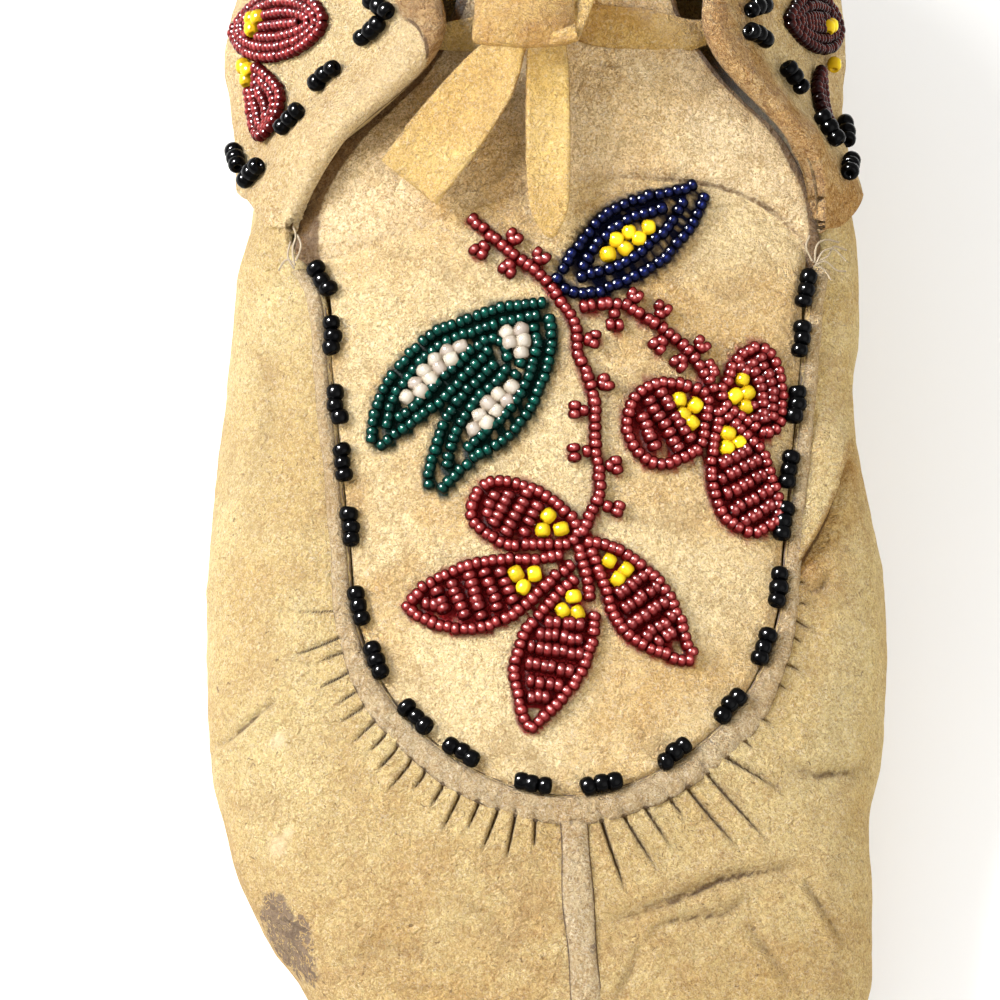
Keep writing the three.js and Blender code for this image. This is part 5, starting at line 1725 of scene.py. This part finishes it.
class MOCCASIN_OT_vamp(bpy.types.Operator):
    """Lay the vamp and the tongue behind it"""

    bl_idname = "moccasin.vamp"
    bl_label = "Vamp and tongue"

    def execute(self, context):
        settings = context.scene.moccasin_hide
        material = hide_material("brushed_vamp_hide", settings.vamp, 1.5, 1.1, 1.7, 0.5, BEAD_SHADE_TINTS)
        self.vamp(material, settings.lump / MM)
        material = hide_material("brushed_tongue_hide", settings.tongue, 1.5, 1.2, 1.8, 0.5)
        self.tongue(material, settings.lump / MM)
        return {"FINISHED"}

    def vamp(self, material, lump):
        even = np.linspace(-1, 1, VAMP_ACROSS)
        s = np.sin(even * math.pi / 2) * VAMP_CROWDING + even * (1 - VAMP_CROWDING)
        seam = VAMP_START + (VAMP_TOP - VAMP_START) * np.linspace(0, 1, VAMP_ALONG) ** 1.25
        u = np.concatenate([seam, np.full(VAMP_ABOVE, VAMP_TOP)])
        arch = np.concatenate([np.zeros(VAMP_ALONG), np.linspace(0, 1, VAMP_ABOVE + 1)[1:]])
        uu, ss = np.meshgrid(u, s, indexing="ij")
        x, y, half = vamp_place(ss, uu, arch[:, None])
        from_side = (1 - np.abs(ss)) * half
        from_tip = np.abs(y - TIP_Y)
        _, top_y, _ = vamp_place(ss, np.full_like(uu, VAMP_TOP), 1)
        from_top = top_y - y
        edge = np.minimum(from_side, from_tip)
        still = smooth(edge, 0.3, 4) * smooth(from_top, 0.3, 3)
        height = lump * VAMP_EVENNESS * still * lumps(np.stack([x, y, 0 * x], -1), VAMP_LUMPS)
        height -= SEAM_TURN * fall(edge, 0, 1.8)
        height -= TOP_TURN * fall(from_top, 0, 6)
        # Painted shade along the vamp's folded top edge
        crease = 0.15 * bump(from_top - 0.4, 0.9)
        points, faces = slab(over_vamp(x, y, height), over_vamp(x, y, -HIDE), 0.2)
        faces = flipped(faces)
        sprouts = [[tip, tip + 0.4 * unit(tip)] for tip in np.asarray(SPRIGS, float)]
        # Where the hide gets the painted shade of the red, blue and green beads
        red = bead_shade(x, y, RED_EDGES + [STEM, BRANCH] + sprouts, RED_OUTLINES, 1, 1.35)
        hearts = [[place, (place[0] + 0.2, place[1])] for place in YELLOW_BEADS]
        red = np.maximum(red, bead_shade(x, y, RED_FILLING + hearts[:-BLUE_HEARTS], (), 1.5, 2.1))
        blue = bead_shade(x, y, BLUE_ROWS + hearts[-BLUE_HEARTS:])
        fields = {
            "crease": slab_field(crease),
            "red_shade": slab_field(red),
            "green_shade": slab_field(bead_shade(x, y, GREEN_ROWS)),
            "blue_shade": slab_field(blue),
        }
        make_piece("vamp_panel", points, faces, material, ("vamp",), fields)

    def tongue(self, material, lump):
        t = np.linspace(0, 1, TONGUE_ALONG)
        s = np.linspace(-1, 1, TONGUE_ACROSS)
        tt, ss = np.meshgrid(t, s, indexing="ij")
        point, normal, _, _ = slopes(tongue_surface, ss, tt, 0, 1, 0.02, 0.01)
        corner = rim_at(np.array(VAMP_TOP))
        other = rim_at(np.array(RING - VAMP_TOP))
        middle = (corner[0] + other[0]) / 2
        half = (other[0] - corner[0]) / 2 - VAMP_SEAM_GAP - VAMP_EASE
        top_y = corner[1] + vamp_arch(np.clip((point[..., 0] - middle) / half, -1, 1))
        beyond = point[..., 1] - top_y
        side = TONGUE_SIDE_RISE * smooth(point[..., 0], 12, 30)
        height = TONGUE_RISE * smooth(beyond, -4, 2.2) * (1 - 0.75 * smooth(beyond, 9, 24))
        height += side * smooth(beyond, -0.4, 3) * fall(beyond, 6, 16)
        free = smooth(beyond, 1, 5)
        height += lump * free * lumps(point, TONGUE_LUMPS)
        height -= 0.5 * smooth(np.abs(ss), 0.8, 1) * free
        top = point + normal * height[..., None]
        bottom = point - normal * (THIN_HIDE - height)[..., None]
        # Painted shade along the vamp's edge, and painted shadow under the cuff's folds at the tongue's sides
        crease = (0.36 + 0.3 * smooth(point[..., 0], 0, 25)) * bump(beyond + 0.2, 0.8)
        crease = np.maximum.reduce([crease, smooth(ss, 0.935, 0.985), smooth(-ss, 0.89, 0.93)])
        points, faces = slab(top, bottom)
        faces = flipped(faces)
        fields = {"crease": slab_field(crease)}
        flap = make_piece("tongue_flap", points, faces, material, ("tongue",), fields)
        declare_sheet((top + bottom) / 2)


# Welts: points along and across, how deep their underside lies in the hide, rounding of their edges, dirt,
# and the unevenness of their course, width and height
WELT_POINTS = (760, 9)
TOE_POINTS = (150, 13)
WELT_SINK = -0.25
WELT_EDGE = 0.1
WELT_GRIME = 0.2
TOE_GRIME = 0.25
WELT_START = 0.15
WELT_WANDER = ((7, 0.22, 46),)
WELT_WAVES = ((8, 0.25, 42),)
WELT_LUMPS = ((3.2, 0.2, 41),)
TOE_WIDTHS = ((6, 0.14, 47),)
TOE_WANDER = ((14, 0.75, 48),)
TOE_LUMPS = ((3.6, 0.16, 43), (1.7, 0.1, 44))

# About how many millimetres one section is along the seam, and one wall parameter down the toe
SECTION_RUN = 9.5
GATHER_SECTION_RUN = 9.0
WALL_RUN = 30


class MOCCASIN_OT_welts(bpy.types.Operator):
    """Sew the welts along the vamp seam and down the toe"""

    bl_idname = "moccasin.welts"
    bl_label = "Welts"

    def execute(self, context):
        settings = context.scene.moccasin_hide
        material = hide_material("worn_welt_hide", settings.welt, 0.8, 1.1, 0.8, 0.8)
        u = np.linspace(-WELT.end, WELT.end, WELT_POINTS[0])
        part = np.linspace(0, 1, WELT_POINTS[1])
        uu, pp = np.meshgrid(u, part, indexing="ij")
        width = WELT.toe + (WELT.side - WELT.toe) * smooth(np.abs(uu), WELT.narrow_from, WELT.narrow_to)
        wander = lumps(np.stack([SECTION_RUN * uu, 0 * uu, 0 * uu], -1), WELT_WANDER)
        place = WELT_START + pp * (width + WELT.inset + wander)
        low = outside_wall(uu, below_rim(uu, place), WELT_SINK)
        mound = 1 - 0.75 * np.abs(2 * pp - 1) ** 2.5
        wrinkle = np.zeros(uu.shape)
        for gather in GATHERS:
            wrinkle += gather.depth * bump((uu - gather.u) * GATHER_SECTION_RUN, 0.5)
        height = 0.1 + WELT.rise * mound * (1 + lumps(low, WELT_WAVES)) + lumps(low, WELT_LUMPS)
        height = height - 0.45 * wrinkle * smooth(pp, 0.1, 0.7)
        top = outside_wall(uu, below_rim(uu, place), height)
        points, faces = slab(top, low, WELT_EDGE)
        # Painted shade at the welt's edges and in the wrinkles of the gathers
        crease = 0.6 * np.clip(wrinkle, 0, 1) * pp + 0.5 * fall(pp, 0, 0.12) + 0.5 * smooth(pp, 0.9, 1)
        fields = {"crease": slab_field(crease), "grime": slab_field(np.full(uu.shape, WELT_GRIME))}
        make_piece("vamp_welt_strip", points, faces, material, ("vamp_welt",), fields)
        self.toe(material)
        return {"FINISHED"}

    def toe(self, material):
        start = float(below_rim(np.array(0.0), WELT.inset + WELT.toe - 0.3))
        v = np.linspace(start, TOE_WELT.low, TOE_POINTS[0])
        s = np.linspace(-1, 1, TOE_POINTS[1])
        vv, ss = np.meshgrid(v, s, indexing="ij")
        _, _, slope, _ = slopes(wall, 0 * vv, vv, 0, 2)
        run = np.stack([WALL_RUN * vv, 0 * vv, 0 * vv], -1)
        wide = TOE_WELT.width / 2 * (0.92 + lumps(run, TOE_WIDTHS))
        uu = (ss * wide + lumps(run, TOE_WANDER)) / norm(slope, axis=-1)
        low = outside_wall(uu, vv, WELT_SINK)
        mound = 1 - 0.8 * np.abs(ss) ** 3
        height = 0.05 + TOE_WELT.rise * mound + lumps(low, TOE_LUMPS)
        top = outside_wall(uu, vv, height)
        points, faces = slab(top, low, WELT_EDGE)
        # Painted shade along the toe welt's edges
        crease = 0.9 * smooth(np.abs(ss), 0.82, 1)
        fields = {"crease": slab_field(crease), "grime": slab_field(np.full(vv.shape, TOE_GRIME))}
        make_piece("toe_welt_strip", points, faces, material, ("toe_seam_welt",), fields)


# Cuff: points round and across, lumps, the slanting seam at its lateral front, and the painted shade on its
# underside
CUFF_POINTS = (400, 64)
CUFF_LUMPS = ((22, 1, 51), (8, 0.5, 52), (3.5, 0.2, 53))
PATCH_SEAM = 11.93
PATCH_SLANT = 1.65
CUFF_UNDER_SHADE = 0.6


class MOCCASIN_OT_cuff(bpy.types.Operator):
    """Fold the cuff over the collar"""

    bl_idname = "moccasin.cuff"
    bl_label = "Cuff"

    def execute(self, context):
        settings = context.scene.moccasin_hide
        u = np.linspace(COLLAR_START, RING - COLLAR_START, CUFF_POINTS[0])
        w = np.linspace(0, 1, CUFF_POINTS[1])
        uu, ww = np.meshgrid(u, w, indexing="ij")
        turn = np.clip(np.minimum(uu - COLLAR_START, RING - COLLAR_START - uu) / CORNER_SPAN, 0, 1)
        ww = ww * (CORNER_REACH + (1 - CORNER_REACH) * (1 - (1 - turn) ** 2.4) ** 0.55)
        point, normal, _, _ = slopes(cuff, uu, ww, 0, 1)
        uneven = settings.lump / MM * smooth(ww, 0.06, 0.3) * lumps(point, CUFF_LUMPS)
        top = point + normal * (HIDE + uneven)[..., None]
        bottom = point + normal * (0.6 * uneven)[..., None]
        points, faces = slab(top, bottom)
        pale = fall(ww, 0.3, 0.5) * (1 - smooth(uu, 13, 15) * fall(uu, 17, 19)) * fall(uu, 16, 19)
        # Painted shade where the cuff turns up out of the collar seam; the patch and its stitched seam are
        # real darker hide
        fold = 0.8 * fall(ww, 0, 0.16) * smooth(turn, 0.5, 1)
        past = uu - (PATCH_SEAM + PATCH_SLANT * (ww - 0.2))
        patch = smooth(past, 0, 0.03) * fall(uu, 13, 13.6) * fall(ww, 0.34, 0.38)
        stitch = bump(past, 0.02) * fall(ww, 0.33, 0.36) * smooth(ww, 0.1, 0.16)
        crease = np.maximum.reduce([fold, 0.42 * patch, stitch])
        strip = 0.95 * smooth(uu, 18.6, 20) * fall(ww, 0.42, 0.6)
        smoke_and_shade = np.maximum.reduce([strip, 0.95 * smooth(uu, 20.7, 21.6), patch])
        fields = {
            "crease": slab_field(crease, CUFF_UNDER_SHADE),
            "pale": slab_field(0.4 * pale),
            "smoke_and_shade": slab_field(smoke_and_shade),
        }
        material = hide_material("smoked_cuff_hide", settings.cuff, 0.9, 1.2, 0.7, 1)
        band = make_piece("cuff_band", points, faces, material, ("cuff",), fields)
        declare_sheet((top + bottom) / 2)
        return {"FINISHED"}


def make_beads(name, beads, rng, material, replaced=(), sides=12, tones=(0.0, 1.0)):
    """Piece of joined beads."""
    points, faces, fields = bead_mesh(beads, rng, sides, tones)
    return make_piece(name, points, faces, material, replaced, fields)


def numbered(name, count):
    """Names of a run of solids."""
    return [f"{name}_{k + 1}" for k in range(count)]


class MOCCASIN_OT_flowers(bpy.types.Operator):
    """Bead the red flowers, stems and sprigs on the vamp"""

    bl_idname = "moccasin.flowers"
    bl_label = "Red beadwork"

    def execute(self, context):
        settings = context.scene.moccasin_beads
        rng = np.random.default_rng(61)
        # The deep colour is painted shade on the beads' flanks; the crown colour is a painted highlight
        deep = (0.06, 0.0015, 0.0015)
        material = bead_material("red_bead_glass", settings.red, settings.garnet, deep)
        edges = join_beads([vamp_rows(RED_OUTLINES, RED_BEAD, rng, True),
                            vamp_rows(RED_EDGES, RED_BEAD, rng)])
        replaced = numbered("bead_flower_large", 4) + numbered("bead_flower_small", 3)
        make_beads("red_petal_edges", edges, rng, material, replaced, tones=(0, 0.35))
        filling = vamp_rows(RED_FILLING, FILL_BEAD, rng)
        make_beads("red_petal_filling", filling, rng, material, tones=(0.35, 1))
        stems = join_beads([vamp_rows([STEM, BRANCH], RED_BEAD, rng),
                            sprig_beads(SPRIGS, [STEM, BRANCH], RED_BEAD, rng)])
        replaced = ("bead_stem", "bead_branch")
        make_beads("red_stems", stems, rng, material, replaced, tones=(0, 0.6))
        return {"FINISHED"}


class MOCCASIN_OT_leaves(bpy.types.Operator):
    """Bead the green and blue leaves and the yellow and white hearts"""

    bl_idname = "moccasin.leaves"
    bl_label = "Leaves and hearts"

    def execute(self, context):
        settings = context.scene.moccasin_beads
        rng = np.random.default_rng(62)
        # Each glass has a painted highlight crown, a body, and a darker flank colour of painted shade
        green = bead_material("green_bead_glass", settings.green, (0.002, 0.05, 0.036),
                              (0.0006, 0.01, 0.007))
        leaves = join_beads([vamp_rows(GREEN_ROWS, GREEN_BEAD, rng),
                             vamp_singles(GREEN_SINGLES, GREEN_BEAD, rng)])
        make_beads("green_leaves", leaves, rng, green, ("bead_leaves_green",))
        blue = bead_material("blue_bead_glass", settings.blue, (0.002, 0.004, 0.035),
                             (0.0006, 0.0008, 0.005))
        leaf = vamp_rows(BLUE_ROWS, BLUE_BEAD, rng)
        make_beads("blue_leaf", leaf, rng, blue, ("bead_leaf_blue",))
        white = bead_material("white_bead_glass", settings.white, (0.56, 0.51, 0.42), (0.4, 0.34, 0.25))
        make_beads("white_hearts", vamp_singles(WHITE_BEADS, LARGE_BEAD, rng), rng, white)
        yellow = bead_material("yellow_bead_glass", settings.yellow, (0.92, 0.72, 0.02),
                               (0.66, 0.42, 0.008))
        hearts = [vamp_singles(YELLOW_BEADS, LARGE_BEAD, rng)]
        for u, w in CUFF_YELLOW:
            hearts.append(beads_on_cuff([(u, w), (u + 0.02, w)], LARGE_BEAD, CUFF_YELLOW_LIFT, rng))
        make_beads("yellow_hearts", join_beads(hearts), rng, yellow)
        return {"FINISHED"}


class MOCCASIN_OT_edging(bpy.types.Operator):
    """Bead the groups of three along the vamp seam and the cuff"""

    bl_idname = "moccasin.edging"
    bl_label = "Black edging"

    def execute(self, context):
        settings = context.scene.moccasin_beads
        rng = np.random.default_rng(63)
        # Black glass with a painted highlight crown and a flank colour of painted shade
        black = bead_material("black_bead_glass", settings.black, (0.002, 0.002, 0.0024),
                              (0.0012, 0.0012, 0.0014), 0.05)
        groups = []
        for row, sign in ((SEAM_LATERAL, 1), (SEAM_MEDIAL, -1)):
            for distance in row:
                u = seam_parameter(distance, sign)
                along = unit(rim_at(u + 0.02) - rim_at(u - 0.02))
                inward = unit(np.array((along[1], -along[0], 0)))
                foot = rim_at(np.array(u)) + inward * SEAM_BEAD_INSET
                foot = over_vamp(foot[0], foot[1], SEAM_GROUP_LIFT)
                groups.append(bead_group(foot, vamp_normal(foot[0], foot[1]), along, rng))
        replaced = numbered("bead_seam_lateral", 10) + numbered("bead_seam_medial", 10)
        make_beads("black_seam_groups", join_beads(groups), rng, black, replaced, BLACK_SIDES)
        groups = []
        for group in CUFF_GROUPS:
            point, normal, _, _ = slopes(cuff, np.array(group.u), np.array(group.w), 0, 1)
            toward = cuff(group.to_u, group.to_w) - point
            groups.append(bead_group(point + normal * HIDE, normal, toward, rng))
        replaced = numbered("bead_cuff", 8)
        make_beads("black_cuff_groups", join_beads(groups), rng, black, replaced, BLACK_SIDES)
        return {"FINISHED"}


class MOCCASIN_OT_cuff_flowers(bpy.types.Operator):
    """Bead the petals on both sides of the cuff"""

    bl_idname = "moccasin.cuff_flowers"
    bl_label = "Cuff beadwork"

    def execute(self, context):
        settings = context.scene.moccasin_beads
        rng = np.random.default_rng(64)
        # Wine and brown glass, each with a painted highlight crown, a body, and a flank colour of painted
        # shade
        wine = bead_material("wine_bead_glass", settings.wine, (0.23, 0.018, 0.018), (0.06, 0.002, 0.002))
        brown = bead_material("brown_red_bead_glass", settings.brown, (0.05, 0.006, 0.004),
                              (0.012, 0.001, 0.001))
        places = np.array(CUFF_YELLOW)
        yellow = cuff_layer(*places.T, HIDE)
        sides = (("lateral", LATERAL_PETALS, wine), ("medial", MEDIAL_PETALS, brown))
        for side, petals, glass in sides:
            groups = []
            for petal in petals:
                rows = int(petal.half / CUFF_ROW)
                for row in range(rows):
                    outline = petal_outline(petal, 1 - (row + 0.5) * CUFF_ROW / petal.half)
                    groups.append(beads_on_cuff(outline, CUFF_BEAD, CUFF_BEAD.width * SEAT, rng, True))
                reach = 0.75 / (rows + 1)
                part = np.linspace(0.5 - reach, 0.55 + reach, 9)[:, None]
                base = np.array((petal.u, petal.w))
                tip = np.array((petal.tip_u, petal.tip_w))
                axis = base * (1 - part) + tip * part
                groups.append(beads_on_cuff(axis, CUFF_BEAD, CUFF_BEAD.width * SEAT, rng))
            replaced = numbered(f"bead_cuff_{side}", 2)
            beads = apart_from(join_beads(groups), yellow, CUFF_ROW)
            make_beads(f"petals_{side}", beads, rng, glass, replaced)
        return {"FINISHED"}


# Thread: points along the seam and each frayed end, size of the stitches, and its place beside the seam
SEAM_POINTS = 900
FRAYED_POINTS = 24
FRAYED_PART = 0.9
STITCH_LENGTH = 3.1
STITCH_HEIGHT = 0.16
THREAD_INSET = 0.2
THREAD_SINK = 0.55


class MOCCASIN_OT_threads(bpy.types.Operator):
    """Draw the sewing thread along the seam and leave its frayed ends at the corners"""

    bl_idname = "moccasin.threads"
    bl_label = "Sewing thread"

    def execute(self, context):
        settings = context.scene.moccasin_hide
        radius = settings.thread_radius / MM
        material = thread_material("waxed_thread", settings.thread)
        u = np.linspace(-WELT.end, WELT.end, SEAM_POINTS)
        line = rim_at(u)
        along = unit(np.gradient(line, axis=0))
        inward = unit(np.stack([along[:, 1], -along[:, 0], 0 * u], -1))
        bob = STITCH_HEIGHT * np.sin(lengths_along(line) * 2 * math.pi / STITCH_LENGTH)
        path = over_vamp(line[:, 0], line[:, 1], 0) + inward * THREAD_INSET
        path = path + UP * (bob - THREAD_SINK)[:, None]
        points, faces = tube(path, radius)
        make_piece("seam_thread", points, faces, material)
        strands = []
        for line in FRAYED_ENDS:
            curve = spline(line, np.linspace(0, len(line) - 1, FRAYED_POINTS))
            strands.append(tube(curve, radius * FRAYED_PART))
        points, faces = joined(strands)
        pale = thread_material("frayed_thread", settings.frayed)
        make_piece("frayed_ends", points, faces, pale)
        return {"FINISHED"}


class MOCCASIN_PT_panel(bpy.types.Panel):
    """Pieces of the moccasin"""

    bl_label = "Moccasin"
    bl_idname = "MOCCASIN_PT_panel"
    bl_space_type = "VIEW_3D"
    bl_region_type = "UI"
    bl_category = "Moccasin"

    def draw(self, context):
        for operator in OPERATORS:
            self.layout.operator(operator.bl_idname)
        for name, settings in SETTINGS.items():
            box = self.layout.box()
            for field in settings.__annotations__:
                box.prop(getattr(context.scene, name), field)


OPERATORS = (MOCCASIN_OT_stage, MOCCASIN_OT_tie, MOCCASIN_OT_body, MOCCASIN_OT_vamp, MOCCASIN_OT_welts,
             MOCCASIN_OT_cuff, MOCCASIN_OT_flowers, MOCCASIN_OT_leaves, MOCCASIN_OT_edging,
             MOCCASIN_OT_cuff_flowers, MOCCASIN_OT_threads)
CLASSES = (*SETTINGS.values(), *OPERATORS, MOCCASIN_PT_panel)


def register():
    for item in CLASSES:
        bpy.utils.register_class(item)
    for name, settings in SETTINGS.items():
        setattr(bpy.types.Scene, name, bpy.props.PointerProperty(type=settings))


def unregister():
    for name in SETTINGS:
        delattr(bpy.types.Scene, name)
    for item in reversed(CLASSES):
        bpy.utils.unregister_class(item)


def main():
    register()
    for operator in OPERATORS:
        family, name = operator.bl_idname.split(".")
        getattr(getattr(bpy.ops, family), name)()


if __name__ == "__main__":
    main()
